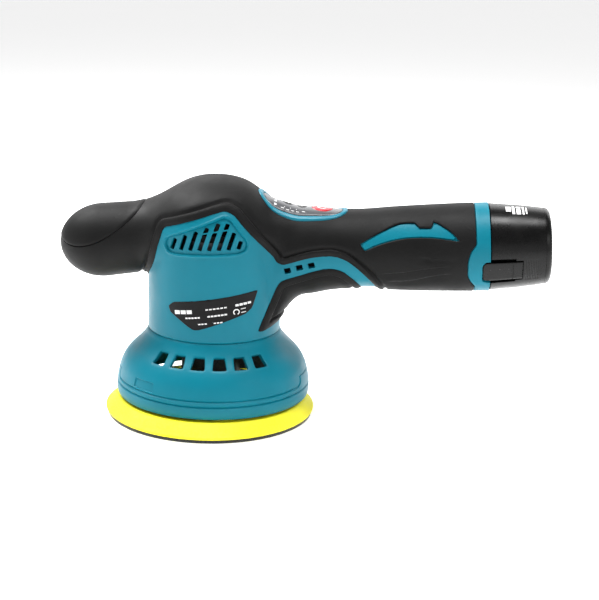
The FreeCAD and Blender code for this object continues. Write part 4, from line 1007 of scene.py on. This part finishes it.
# Flowing creases low on the handle: lines in XZ, each shallow and fading at both ends.
CREASES = [[(96.0, 92.5), (108.0, 93.5), (122.0, 96.5), (140.0, 99.5)],
           [(100.0, 87.5), (114.0, 88.5), (128.0, 92.5), (141.0, 95.0)],
           [(118.0, 104.0), (130.0, 102.5), (142.0, 103.0)]]
CREASE_DEPTH = 0.75
CREASE_FADE = 8.0
CREASE_BELOW, CREASE_ABOVE = 3.0, 0.5


def crease_offset(p, line):
    """How far each point is above a crease's line."""
    xs, zs = np.array(line).T
    return p[:, 2] - smooth_curve(xs, zs, p[:, 0])


def crease_scores():
    """Where the mesh is split so that each crease has a crisp edge."""
    def beside(line, value):
        return lambda p: np.where((p[:, 0] > line[0][0]) & (p[:, 0] < line[-1][0]),
                                  crease_offset(p, line) - value, 50.0)
    return [beside(line, value) for line in CREASES for value in (-1.4, 0.0, 0.7)]


def crease_depth(p):
    depth = np.zeros(len(p))
    for line in CREASES:
        below = crease_offset(p, line)
        fade = (smooth_step(line[0][0], line[0][0] + CREASE_FADE, p[:, 0])
                * (1 - smooth_step(line[-1][0] - CREASE_FADE, line[-1][0], p[:, 0])))
        shape = np.where(below < 0, np.exp(-(below / CREASE_BELOW) ** 2),
                         np.exp(-(below / CREASE_ABOVE) ** 2))
        depth += CREASE_DEPTH * fade * shape
    return depth


# The grip's other edges: what each runs along, and its height there.
GRIP_EDGES = ((band_side, 0.8), (feather_side, 0.85), (knob_side, 0.7), (panel_distance, 0.8))
GRIP_CREST = 1.42
EDGE_WIDTH = 0.4


def make_grips():
    """The rubber overmould on dome, knob and handle."""
    def heights(p):
        top = lip_profile(teal_side(p), GRIP_CREST, 0.1, 1.2)
        top -= crease_depth(p)
        for distance, edge in GRIP_EDGES:
            top = np.minimum(top, np.interp(distance(p), [0.0, EDGE_WIDTH], [edge, GRIP_CREST]))
        return top + seam_groove(p, 0.15), np.zeros(len(p))
    cuts = [outside(teal_side), outside(insert_side), outside(feather_side), outside(band_side),
            outside(knob_side), outside(panel_distance)]
    scores = [level(teal_side, value) for value in LIP_SCORES]
    scores += [level(distance, EDGE_WIDTH) for distance, _ in GRIP_EDGES]
    scores += [seam_line] + crease_scores()
    make_sides("grip", cuts, scores, heights, "black_elastomer", "grip_skin")


def make_finger_inserts():
    """The softer patch where the fingers wrap round the neck."""
    def heights(p):
        top = lip_profile(teal_side(p), 1.3, 0.1, 1.1)
        top = np.minimum(top, np.interp(-insert_side(p), [0.0, 0.35], [0.75, 1.35]))
        return top + seam_groove(p, 0.15), np.zeros(len(p))
    scores = [level(teal_side, value) for value in LIP_SCORES] + [level(insert_side, -0.35), seam_line]
    make_sides("finger_grip", [insert_side, outside(teal_side)], scores, heights,
               "black_elastomer", "finger_insert")


PALM_STEPS, PALM_HEIGHTS = (0.0, 0.4, 1.2), (0.6, 1.2, 1.55)


def make_knob_pad():
    """The soft pad under the palm, in one piece over the top of the knob."""
    points, faces, normals = patch(knob_side, outside(teal_side),
                                   scores=[level(knob_side, -step) for step in PALM_STEPS[1:]])
    top = np.interp(-knob_side(points), PALM_STEPS, PALM_HEIGHTS)
    make_joined("palm_pad", points, faces, normals, top, np.zeros(len(points)), "housing",
                "black_elastomer", replaces=("knob_pad",))


def make_name_plates():
    """A printed plate on each side, with plain bars in place of any wording."""
    def heights(p):
        return np.interp(-name_side(p), [0.0, 0.3], [0.15, 0.4]), np.zeros(len(p)) - 0.05
    make_sides("label", [name_side], [level(name_side, -0.3)], heights, "name_plate_film",
               "name_plate", screwed=False)


make_housings()
make_vent_shade_strip()
make_grips()
make_finger_inserts()
make_knob_pad()
make_name_plates()


# ---------------------------------------------------------------- control panel

KEYS = {"power_button": (62.5, 6.0, "power_key", "red_plastic"),
        "speed_up_button": (50.5, 2.6, "speed_up_key", "dark_grey_plastic"),
        "speed_down_button": (42.0, 2.6, "speed_down_key", "dark_grey_plastic")}
KEY_GAP = 0.25
KEY_TOP = 1.4
MEMBRANE_TOP = 1.12
FILM_EDGE, FILM_FLAT = -BEZEL_WIDTH - 0.3, -BEZEL_WIDTH - 0.8
TRIM_STEPS = (-BEZEL_WIDTH, -2.45, -2.0, -0.8, -0.35, 0.0)
TRIM_HEIGHTS = (0.9, 1.5, 1.7, 1.7, 1.5, 0.95)
PRINT = 0.03


def make_panel():
    """The trim ring, the membrane and its three keys, sunk into the top of the handle."""
    points, faces, normals = patch(panel_distance, outside(level(panel_distance, -BEZEL_WIDTH)),
                                   scores=[level(panel_distance, step) for step in TRIM_STEPS[-2:0:-1]])
    top = np.interp(panel_distance(points), TRIM_STEPS, TRIM_HEIGHTS)
    make_joined("panel_trim", points, faces, normals, top, np.zeros(len(points)), "housing",
                "teal_plastic", material="teal_trim", replaces=("panel_bezel",))

    holes = [outside(key_distance(x, half, KEY_GAP)) for x, half, _, _ in KEYS.values()]
    points, faces, normals = patch(level(panel_distance, FILM_EDGE), *holes,
                                   scores=[level(panel_distance, FILM_FLAT)])
    top = np.interp(panel_distance(points), [FILM_FLAT, FILM_EDGE], [MEMBRANE_TOP, 0.85])
    make_joined("panel_film", points, faces, normals, top, np.zeros(len(points)), "housing",
                "membrane_film", replaces=("panel_membrane",))

    for name, (x, half, body, slot) in KEYS.items():
        edge = key_distance(x, half)
        points, faces, normals = patch(edge, scores=[level(edge, -0.4), level(edge, -0.9)])
        top = np.interp(edge(points), [-0.9, -0.4, 0.0], [KEY_TOP, KEY_TOP - 0.12, KEY_TOP - 0.5])
        make_joined(name + "_cap", points, faces, normals, top, np.full(len(points), -1.2), body,
                    slot, replaces=(name,))


# Where a print on the side (along Y) or on the panel (along Z) looks for the surface.
PRINT_SEARCH = {1: (-60.0, 0.0), 2: (150.0, PANEL_FLOOR)}


def on_base(points, axis, outer, inner):
    """The points moved along one axis to the surface that the housings and grips share."""
    low, high = points.copy(), points.copy()
    low[:, axis], high[:, axis] = outer, inner
    for _ in range(30):
        middle = (low + high) / 2
        within = body_field(middle) < -GRIP_SKIN
        high[within] = middle[within]
        low[~within] = middle[~within]
    return high


def slab(outer, inner):
    """A closed mesh between two grids of points."""
    rows, columns = outer.shape[:2]
    count = rows * columns
    at = np.arange(count).reshape(rows, columns)
    faces = []
    for i in range(rows - 1):
        for j in range(columns - 1):
            square = (at[i, j], at[i + 1, j], at[i + 1, j + 1], at[i, j + 1])
            faces.append(tuple(int(v) for v in square))
            faces.append(tuple(int(v) + count for v in reversed(square)))
    rim = list(at[0, :]) + list(at[1:, -1]) + list(at[-1, -2::-1]) + list(at[-2:0:-1, 0])
    for a, b in zip(rim, rim[1:] + rim[:1]):
        faces.append((int(a), int(b), int(b) + count, int(a) + count))
    return np.concatenate([outer.reshape(-1, 3), inner.reshape(-1, 3)]), np.array(faces)


def base_slab(u, v, axis, height):
    """A thin print over the base surface: axis 1 for the left side, 2 for the panel."""
    points = np.zeros((u.size, 3))
    points[:, 0] = u.ravel()
    points[:, 3 - axis] = v.ravel()
    points = on_base(points, axis, *PRINT_SEARCH[axis])
    normals = field_slope(points, body_field)
    normals /= np.linalg.norm(normals, axis=1)[:, None]
    return slab((points + (height + PRINT) * normals).reshape(u.shape + (3,)),
                (points + (height - PRINT) * normals).reshape(u.shape + (3,)))


def bar_grid(x, y, half_x, half_y):
    return np.meshgrid(np.linspace(x - half_x, x + half_x, 4),
                       np.linspace(y - half_y, y + half_y, 4), indexing="ij")


def arc_grid(x, y, radius, half_width, first=-60.0, sweep=300.0):
    """An open ring."""
    angle, r = np.meshgrid(np.radians(np.linspace(first, first + sweep, 28)),
                           np.array([radius - half_width, radius + half_width]), indexing="ij")
    return x + r * np.cos(angle), y + r * np.sin(angle)


def print_mark(name, grids, height, body, slot, material):
    """Thin printed marks on the panel, at a height over the base."""
    make_piece(name, joined(*[base_slab(u, v, 2, height) for u, v in grids]), body, slot,
               material=material)


def make_panel_print():
    """Plain control marks: a power ring, plus and minus, a row of speed lamps and scale ticks."""
    power_x, up_x, down_x = (x for x, _, _, _ in KEYS.values())
    power = [arc_grid(power_x, 0.0, 2.7, 0.32, 40.0, 280.0), bar_grid(64.7, 0.0, 1.5, 0.28)]
    print_mark("power_ring", power, KEY_TOP, "power_key", "red_plastic", "print_white")
    print_mark("minus_mark", [bar_grid(down_x, 0.0, 0.25, 0.9)], KEY_TOP, "speed_down_key",
               "dark_grey_plastic", "print_white")
    plus = [bar_grid(up_x, 0.0, 0.25, 0.9), bar_grid(up_x, 0.58, 0.9, 0.3),
            bar_grid(up_x, -0.58, 0.9, 0.3)]
    print_mark("plus_mark", plus, KEY_TOP, "speed_up_key", "dark_grey_plastic", "print_white")
    lamps = [bar_grid(35.0, y, 0.7, 0.7) for y in (-6.4, -3.2, 0.0, 3.2, 6.4)]
    print_mark("lamp_windows", lamps, MEMBRANE_TOP, "housing", "membrane_film", "print_white")
    ticks = [bar_grid(x, side * y, 0.9, 0.22) for side in (-1, 1)
             for x, y in ((39.4, 7.6), (42.4, 8.0), (45.4, 8.0), (48.4, 8.0), (52.0, 7.4))]
    ticks += [bar_grid(x, side * 6.3, 0.25, 0.25) for side in (-1, 1) for x in (40.5, 44.0, 47.5)]
    print_mark("scale_ticks", ticks, MEMBRANE_TOP, "housing", "membrane_film", "print_white")


make_panel()
make_panel_print()


# ---------------------------------------------------------------- skirt

SKIRT_WALL = 2.4
# Height and radius of the skirt's outside, from its lower edge up.
SKIRT_CURVE = np.array([
    (11.3, 57.2), (12.6, 57.7), (18.0, 57.85), (26.0, 56.4), (30.3, 55.0), (34.2, 52.9),
    (38.0, 49.8), (41.3, 46.3), (43.3, 44.4), (45.6, 42.4), (48.2, 40.6), (50.7, 39.6)])
WINDOW_LOW, WINDOW_HIGH = 38.0, 44.0
WINDOW_HALF = [4.3, 3.2]
WINDOW_CORNER = 0.8
# Length along the skirt for each millimetre of height, where the windows are.
SKIRT_LEAN = 1.35
WINDOW_PITCH = math.radians(14.9)
WINDOW_SHIFT = math.radians(3.2)
SKIRT_PROBE = 0.3
GROOVE_Z = 21.9
GROOVE_SPACING = 3.2
GROOVE_REACH = math.radians(71.5)
GROOVE_CURL = 5.0
GROOVE_STEPS = (-0.9, 0.0, 0.7)
GROOVE_DEPTH = 0.7
POCKET_ANGLE = math.radians(39.5)
POCKET_HALF = math.radians(8.0)
POCKET_Z = 25.6
POCKET_TALL = 2.9


def skirt_radius(z):
    return smooth_curve(SKIRT_CURVE[:, 0], SKIRT_CURVE[:, 1], z)


def skirt_base(segments=400, step=0.9):
    """The outside of the skirt as triangles, with its normals."""
    levels = [SKIRT_CURVE[0, 0]]
    while levels[-1] < COLUMN_BASE - SKIRT_PROBE:
        z = levels[-1]
        slope = np.diff(skirt_radius(np.array([z, z + SKIRT_PROBE])))[0] / SKIRT_PROBE
        levels.append(z + step / math.hypot(1, slope))
    levels[-1] = COLUMN_BASE
    z = np.array(levels)
    r = skirt_radius(z)
    angle = np.arange(segments) * 2 * math.pi / segments
    points = np.stack([np.outer(r, np.cos(angle)), np.outer(r, np.sin(angle)),
                       np.outer(z, np.ones(segments))], axis=-1).reshape(-1, 3)
    row, column = (a.ravel() for a in np.meshgrid(np.arange(len(z) - 1), np.arange(segments),
                                                  indexing="ij"))
    a = row * segments + column
    b = row * segments + (column + 1) % segments
    faces = np.concatenate([np.stack([a, b, b + segments], 1),
                            np.stack([a, b + segments, a + segments], 1)])
    return points, faces


def skirt_normals(points):
    z = points[:, 2]
    rise = 0.05
    slope = (skirt_radius(z + rise) - skirt_radius(z - rise)) / (2 * rise)
    angle = np.arctan2(points[:, 1], points[:, 0])
    flat = np.stack([np.cos(angle), np.sin(angle), -slope], axis=-1)
    return flat / np.linalg.norm(flat, axis=1)[:, None]


def from_side(p):
    """The angle of each point from the nearer of the two sides, -Y and +Y."""
    return np.arctan2(np.abs(p[:, 1]), p[:, 0]) - math.pi / 2


def window_distance(p):
    """Signed distance to the nearest exhaust window."""
    angle = from_side(p) + WINDOW_SHIFT
    radius = np.hypot(p[:, 0], p[:, 1])
    place = np.clip(np.floor(angle / WINDOW_PITCH), -3, 2) + 0.5
    across = np.abs(angle - place * WINDOW_PITCH) * radius
    width = np.interp(p[:, 2], [WINDOW_LOW, WINDOW_HIGH], WINDOW_HALF)
    u = across - width + WINDOW_CORNER
    v = (np.abs(p[:, 2] - (WINDOW_LOW + WINDOW_HIGH) / 2)
         - (WINDOW_HIGH - WINDOW_LOW) / 2) * SKIRT_LEAN + WINDOW_CORNER
    return rounded(u, v, WINDOW_CORNER)


def groove_distance(p, base, curled):
    """Signed distance to a groove's line round the skirt; a curled one turns up at its ends."""
    rise = p[:, 2] - base
    if not curled:
        return rise
    short = (GROOVE_REACH - np.abs(from_side(p))) * np.hypot(p[:, 0], p[:, 1])
    turn = GROOVE_CURL - np.hypot(np.maximum(GROOVE_CURL - short, 0.0), GROOVE_CURL - rise)
    return np.where(rise > GROOVE_CURL, np.maximum(short, rise - GROOVE_CURL), turn)


def pocket_distance(p):
    """Signed distance to the shallow finger pocket at the front end of the band on each side."""
    across = (np.abs(from_side(p) - POCKET_ANGLE) - POCKET_HALF) * np.hypot(p[:, 0], p[:, 1])
    return np.maximum(across, np.abs(p[:, 2] - POCKET_Z) - POCKET_TALL)


def make_skirt():
    """The vented skirt, with its windows and the two shallow grooves of its band."""
    points, faces = skirt_base()
    points, faces = clip(points, faces, outside(window_distance))
    grooves = ((GROOVE_Z, True), (GROOVE_Z - GROOVE_SPACING, False))
    for base, curled in grooves:
        for value in GROOVE_STEPS:
            points, faces = score(points, faces,
                                  lambda p: groove_distance(p, base, curled) - value)
    for value in (0.0, -0.5):
        points, faces = score(points, faces, level(pocket_distance, value))
    top = np.interp(pocket_distance(points), [-0.5, 0.0], [-0.7, 0.0])
    for base, curled in grooves:
        top -= np.interp(groove_distance(points, base, curled), GROOVE_STEPS, [0.0, GROOVE_DEPTH, 0.0])
    normals = skirt_normals(points)
    top += np.interp(window_distance(points), [0.0, 0.5], [-0.3, 0.0])
    top += np.interp(COLUMN_BASE - points[:, 2], [0.0, 0.9], [-0.6, 0.0])
    mesh = shell(points, faces, normals, top, np.full(len(points), -SKIRT_WALL))
    make_piece("skirt_shell", mesh, "housing", "teal_plastic", replaces=("skirt",), weld=False)
    flange = [(29.3, 47.7), (37.4, 47.7), (37.4, 50.6), (29.3, 50.6), (29.0, 50.3), (29.0, 48.0)]
    make_piece("skirt_flange", lathe(flange), "housing", "teal_plastic")


make_skirt()


# ---------------------------------------------------------------- pad

def make_pad():
    """The foam pad and the hook face under it."""
    foam = [(12.0, 2.02), (61.5, 2.02)] + arc_points((61.3, 3.3), 1.2, -70, 22, 8)
    foam += [(59.6, 6.2), (56.9, 8.9)] + arc_points((55.2, 8.4), 1.4, 40, 90, 6) + [(12.0, 9.8)]
    cushion = make_piece("foam_pad", lathe(foam, 256, centre=PAD_CENTRE), "pad", "yellow_foam",
                         replaces=("pad_foam",))
    hook = [(3.5, 0.25), (3.75, 0.0)] + arc_points((61.0, 0.5), 0.5, -90, 0, 5)
    hook += arc_points((61.0, 1.5), 0.5, 0, 90, 5) + [(3.5, 2.0)]
    make_piece("hook_disc", lathe(hook, 256, centre=PAD_CENTRE), "pad", "hook_fabric",
               replaces=("hook_face",))


make_pad()


# ---------------------------------------------------------------- printed bars on the sides

PLATE_TOP = 0.4
PRINT_RISE = math.radians(8.0)
# Each row: X and Z of its start, number of bars, length, gap and thickness.
PLATE_ROWS = [(-18.6, 67.9, 3, 3.0, 0.6, 2.2), (-0.6, 71.2, 6, 1.5, 0.6, 0.7),
              (16.0, 73.7, 4, 1.8, 0.4, 1.3), (-12.2, 65.2, 5, 1.3, 0.5, 0.8),
              (0.6, 67.2, 6, 1.5, 0.4, 0.9), (-4.6, 62.3, 3, 1.3, 0.5, 0.7),
              (4.2, 63.4, 3, 1.3, 0.5, 0.7), (19.2, 69.3, 1, 2.6, 0.0, 0.4),
              (19.0, 71.4, 1, 2.6, 0.0, 0.4)]


def row_grids(x, z, count, length, gap, thick):
    """Grids of plan points for a rising row of bars."""
    grids = []
    for index in range(count):
        start = index * (length + gap)
        along, across = np.meshgrid(np.linspace(start, start + length, 4),
                                    np.linspace(-thick / 2, thick / 2, 3), indexing="ij")
        grids.append((x + along * math.cos(PRINT_RISE) - across * math.sin(PRINT_RISE),
                      z + along * math.sin(PRINT_RISE) + across * math.cos(PRINT_RISE)))
    return grids


def make_plate_print():
    grids = [grid for row in PLATE_ROWS for grid in row_grids(*row)]
    grids.append(arc_grid(16.6, 69.8, 1.5, 0.3))
    slabs = [base_slab(u, v, 1, PLATE_TOP) for u, v in grids]
    mesh = joined(*slabs)
    for side, own in (("left", mesh), ("right", mirror(*mesh))):
        make_piece(side + "_label_print", own, "housing", "name_plate_film",
                   material="print_white")


make_plate_print()


# ---------------------------------------------------------------- battery

CASE_START, CASE_MID, CASE_END = 76.0, 92.0, 107.4
CASE_RADII = (25.4, 24.1, 22.4)
CASE_BACK = 104.0
SLEEVE_RADIUS = 21.2
CASE_BORE = 19.9
RECESS_RADIUS = 21.4
RECESS_END = 94.2
RIB_START, RIB_END, RIB_PITCH = 95.4, 103.0, 0.95
CASE_SEGMENTS = 240
TAB_HALF = math.radians(14.4)
TAB_START, TAB_END = 71.4, 94.0
TAB_CORNER = 2.6
TAB_EDGE = [(0.0, 0.4), (0.15, 0.12), (0.45, 0.0)]
# Stations along a tab; the close pairs bound the fine line across it.
TAB_STATIONS = [72.3, 73.0, 74.0, 76.0, 79.0, 82.0, 85.0, 88.2, 88.3, 88.6, 88.7, 90.5, 92.5]
TAB_LINE_DEPTH = 0.2
SLOT_END = 90.2
PIN_REACH, PIN_RADIUS, PIN_HALF = 21.85, 0.4, 6.0
PIN_STATION = 92.2
PIN_SIDES = 12
DOT_STATIONS = (75.5, 80.8, 86.0)
DOT_SHIFT = math.radians(5.0)


def tab_radius(station):
    """The radius of a latch tab's outer face."""
    return np.interp(station, [TAB_START, CASE_START, CASE_MID, TAB_END], [25.55, 25.3, 24.1, 23.9])


def case_radius(station):
    return np.interp(station, [CASE_START, CASE_MID, CASE_END], CASE_RADII)


def latch_side(angle):
    """How far each angle round the handle is from the nearer latch's middle."""
    turned = np.abs((angle + math.pi) % (2 * math.pi) - math.pi)
    return np.abs(turned - LATCH_ANGLE)


def case_dent(angle, radius, station):
    """The latch recesses and the fine grip ribs behind them."""
    beside = latch_side(angle)
    shift = np.zeros_like(radius)
    outer = radius > SLEEVE_RADIUS + 0.6
    half = np.where(station < SLOT_END, SLOT_HALF, TAB_HALF + 0.012)
    recess = outer & (beside < half) & (station < RECESS_END + 0.01)
    shift[recess] = RECESS_RADIUS - radius[recess]
    ribs = outer & (beside < NOTCH_HALF + 0.02) & (station > RIB_START) & (station < RIB_END)
    wave = 0.5 - 0.5 * np.cos((station - RIB_START) / RIB_PITCH * 2 * math.pi)
    shift[ribs] = -0.3 * wave[ribs]
    return shift


def make_battery():
    """The slide-in pack: sleeve, case, end cap and the plain print on its shoulder."""
    outer = [(SLEEVE_RADIUS - 1.0, 29.4), (SLEEVE_RADIUS, 30.4), (SLEEVE_RADIUS, 75.8),
             (SLEEVE_RADIUS, CASE_START), (25.1, CASE_START), (25.4, CASE_START + 0.35)]
    stations = [80.0, 86.0, SLOT_END - 0.01, SLOT_END + 0.01, CASE_MID, RECESS_END,
                RECESS_END + 0.12]
    stations += list(np.arange(RIB_START - 0.2, RIB_END + 0.2, RIB_PITCH / 4))
    outer += [(float(case_radius(station)), station) for station in stations]
    profile = [(CASE_BORE, 31.0), (0.0, 31.0), (0.0, 29.4)] + outer
    profile += [(float(case_radius(CASE_END)) - 0.2, CASE_END), (0.0, CASE_END), (0.0, CASE_BACK),
                (CASE_BORE, CASE_BACK)]
    make_piece("battery_shell", lathe(profile, CASE_SEGMENTS, dent=case_dent, frame="handle"),
               "battery", "battery_plastic", replaces=("battery_case",), sharp=math.radians(24))

    cap = [(0.0, CASE_END), (22.1, CASE_END), (22.35, CASE_END + 0.2)]
    cap += arc_points((18.8, 107.55), 3.5, 4, 84, 8) + [(10.0, 111.1), (0.0, 111.2)]
    make_piece("battery_end", lathe(cap, CASE_SEGMENTS, frame="handle"), "battery",
               "battery_plastic", replaces=("battery_end_cap",))

    # Each bar: its first and last station, and its start and end angle in degrees.
    bars = [(85.2, 88.2, 189.0, 203.0), (88.8, 90.4, 187.0, 208.0), (91.2, 93.8, 196.0, 208.0),
            (91.2, 93.8, 187.0, 193.0), (94.6, 95.8, 186.0, 208.0), (96.6, 97.4, 188.0, 206.0)]
    for number, (first, last, start, end) in enumerate(bars, start=1):
        low = [(float(case_radius(s)) - PRINT, s) for s in (first, last)]
        high = [(r + 2 * PRINT, s) for r, s in reversed(low)]
        points, faces = lathe(low + high, 16, start=start, sweep=end - start, frame="handle")
        make_piece(f"battery_print_{number}", (points, faces), "battery", "battery_plastic",
                   material="print_white")


def latch_tab(middle):
    """A latch tab: rounded at its free end, with softened edges, flush with the case behind."""
    rounding = [TAB_START + t for t, _ in TAB_EDGE]
    stations = np.array(rounding + TAB_STATIONS + [TAB_END - 0.15, TAB_END])
    corner = np.maximum(TAB_CORNER - (stations - TAB_START), 0.0)
    half = TAB_HALF - (TAB_CORNER - np.sqrt(TAB_CORNER ** 2 - corner ** 2)) / 25.0
    drop = np.interp(stations, rounding + [TAB_END - 0.15, TAB_END],
                     [d for _, d in TAB_EDGE] + [0.0, 0.15])
    drop += np.where((stations > 88.25) & (stations < 88.65), TAB_LINE_DEPTH, 0.0)
    radius = tab_radius(stations)
    inner = np.interp(stations, [88.6, 90.6], [23.4, 22.3])
    across = np.array([-1.0, -0.98, -0.94, -0.7, -0.4, 0.0, 0.4, 0.7, 0.94, 0.98, 1.0])
    fall = np.interp(1 - np.abs(across), [0.0, 0.02, 0.06], [0.4, 0.12, 0.0])
    angle = middle + half[:, None] * across[None, :]
    top = radius[:, None] - np.maximum(drop[:, None], fall[None, :])
    grids = []
    for r in (top, np.tile(inner[:, None], (1, len(across)))):
        grids.append(handle_point(stations[:, None] + 0 * r, r * np.sin(angle), -r * np.cos(angle)))
    return slab(*grids)


def make_latches():
    """The two spring latches, with their grip dots and hinge pins."""
    for side, name in ((-1, "left"), (1, "right")):
        make_piece(name + "_latch_tab", latch_tab(side * LATCH_ANGLE), name + "_latch",
                   "battery_plastic", replaces=(name + "_battery_latch",))
        for number, station in enumerate(DOT_STATIONS, start=1):
            angle = side * (LATCH_ANGLE + DOT_SHIFT)
            radius = float(tab_radius(station)) - 0.1
            make_piece(f"{name}_latch_dot_{number}", dome(station, angle, radius, 0.45, 0.25),
                       name + "_latch", "battery_plastic", material="dark_grey_plastic")
    # The pins are near-black steel: painted shade in the latch gaps.
    pins = joined(*[hinge_pin(side * LATCH_ANGLE) for side in (-1, 1)])
    make_piece("latch_pin_rods", pins, "battery", "ground_steel", material="blackened_steel",
               replaces=("latch_pins",))


def hinge_pin(middle):
    """A thin rod across the root of a latch."""
    turn = np.linspace(0, 2 * math.pi, PIN_SIDES, endpoint=False)
    out = PIN_REACH + PIN_RADIUS * np.cos(turn)
    points = []
    for across in (-PIN_HALF, PIN_HALF):
        y = out * math.sin(middle) + across * math.cos(middle)
        up = -out * math.cos(middle) + across * math.sin(middle)
        points.append(handle_point(PIN_STATION + PIN_RADIUS * np.sin(turn), y, up))
    faces = []
    for k in range(PIN_SIDES):
        after = (k + 1) % PIN_SIDES
        far, far_after = PIN_SIDES + k, PIN_SIDES + after
        faces += [(k, far, far_after), (k, far_after, after)]
        if 0 < k < PIN_SIDES - 1:
            faces += [(0, k, after), (PIN_SIDES, far_after, far)]
    return np.concatenate(points), np.array(faces)


def dome(station, angle, radius, width, height):
    """A small round bump that stands on the handle's skin, as a closed mesh."""
    rows, segments = 5, 16
    out = np.array([0.0, math.sin(angle), -math.cos(angle)])
    side = np.array([0.0, math.cos(angle), math.sin(angle)])
    points = []
    for row in range(rows):
        lift = math.pi / 2 * row / (rows - 1)
        for segment in range(segments):
            turn = 2 * math.pi * segment / segments
            local = (out * (radius + height * math.sin(lift))
                     + side * width * math.cos(lift) * math.sin(turn))
            points.append(handle_point(station + width * math.cos(lift) * math.cos(turn),
                                       local[1], local[2]))
    faces = [tuple(reversed(range(segments)))]
    for row in range(rows - 1):
        for segment in range(segments):
            after = (segment + 1) % segments
            faces.append((row * segments + segment, row * segments + after,
                          (row + 1) * segments + after, (row + 1) * segments + segment))
    return np.array(points), faces


make_battery()
make_latches()


# ---------------------------------------------------------------- CAD nodes that stay

# CAD nodes given the near-black steel instead of their slot's material: painted shade on the latch
# springs.
DARKENED = {"latch_springs": "blackened_steel",
            "skirt_screws": "blackened_steel",
            "housing_screws": "blackened_steel"}


def finish_nodes():
    """Every CAD node that still shows gets its slot's material."""
    slots = {entry["node"]: entry["material_slot"] for entry in frame["record"]["subparts"]}
    for name, node in frame["nodes"].items():
        node.data.materials.clear()
        node.data.materials.append(MATERIALS[DARKENED.get(name, slots[name])])


finish_nodes()


# ---------------------------------------------------------------- floor, light and camera

FLOOR_REACH = 30.0
# Each lamp, in metres and watts: name, place, size and power.
LAMPS = [("key", (-0.6, 0.25, 0.95), (0.4, 0.4), 16.0),
         ("fill", (0.9, -0.6, 0.6), (0.6, 0.4), 1.8),
         ("top", (0.05, -0.05, 1.1), (0.8, 0.3), 13.0),
         ("back", (0.05, 1.2, 0.8), (2.6, 0.9), 14.0)]
LAMP_TARGET = (0.05, 0.0, 0.08)
# How the surrounding light fades from the horizon up.
SKY_FADE = {"From Min": 0.18, "From Max": 0.4, "To Min": 0.97, "To Max": 0.26}
CAMERA_PLACE = (0.0925, -0.79625, 0.286)
CAMERA_LENS = 83.2
CAMERA_TURN, CAMERA_DIP, CAMERA_ROLL = (math.radians(angle) for angle in (3.0, 15.24, 1.78))


def make_floor():
    data = bpy.data.meshes.new("floor")
    corners = ((-1, -1), (1, -1), (1, 1), (-1, 1))
    data.from_pydata([(x * FLOOR_REACH, y * FLOOR_REACH, 0) for x, y in corners], [], [(0, 1, 2, 3)])
    shader = Shader("floor")
    tone = shader.ramp(shader.noise(1.5), 0.3, 0.7, 0.0, 1.0)
    data.materials.append(shader.set(
        Base_Color=shader.mix(tone, (0.9, 0.9, 0.9, 1), (0.92, 0.92, 0.92, 1)), Roughness=0.75,
        Specular_IOR_Level=0.2, Emission_Color=(1, 1, 1, 1), Emission_Strength=0.57))
    floor = bpy.data.objects.new("floor", data)
    bpy.context.scene.collection.objects.link(floor)


def area_light(name, place, target, size, power):
    data = bpy.data.lights.new(name, "AREA")
    data.shape = "RECTANGLE"
    data.size, data.size_y = size
    data.energy = power
    lamp = bpy.data.objects.new(name, data)
    lamp.location = place
    lamp.rotation_euler = (Vector(target) - Vector(place)).to_track_quat("-Z", "Y").to_euler()
    bpy.context.scene.collection.objects.link(lamp)


def make_lights():
    world = bpy.data.worlds.new("studio")
    world.use_nodes = True
    nodes, links = world.node_tree.nodes, world.node_tree.links
    height = nodes.new("ShaderNodeSeparateXYZ")
    links.new(nodes.new("ShaderNodeTexCoord").outputs["Generated"], height.inputs[0])
    fade = nodes.new("ShaderNodeMapRange")
    for socket, value in SKY_FADE.items():
        fade.inputs[socket].default_value = value
    links.new(height.outputs["Z"], fade.inputs["Value"])
    links.new(fade.outputs["Result"], nodes["Background"].inputs["Strength"])
    nodes["Background"].inputs["Color"].default_value = (1, 1, 1, 1)
    bpy.context.scene.world = world
    for name, place, size, power in LAMPS:
        area_light(name, place, LAMP_TARGET, size, power)


def make_camera():
    data = bpy.data.cameras.new("camera")
    data.lens = CAMERA_LENS
    data.sensor_width = 36.0
    camera = bpy.data.objects.new("camera", data)
    camera.location = CAMERA_PLACE
    turn = (Matrix.Rotation(CAMERA_TURN, 4, "Z") @ Matrix.Rotation(math.pi / 2 - CAMERA_DIP, 4, "X")
            @ Matrix.Rotation(CAMERA_ROLL, 4, "Z"))
    camera.rotation_euler = turn.to_euler()
    bpy.context.scene.collection.objects.link(camera)
    bpy.context.scene.camera = camera


make_floor()
make_lights()
make_camera()
bpy.context.scene.view_settings.view_transform = "Standard"
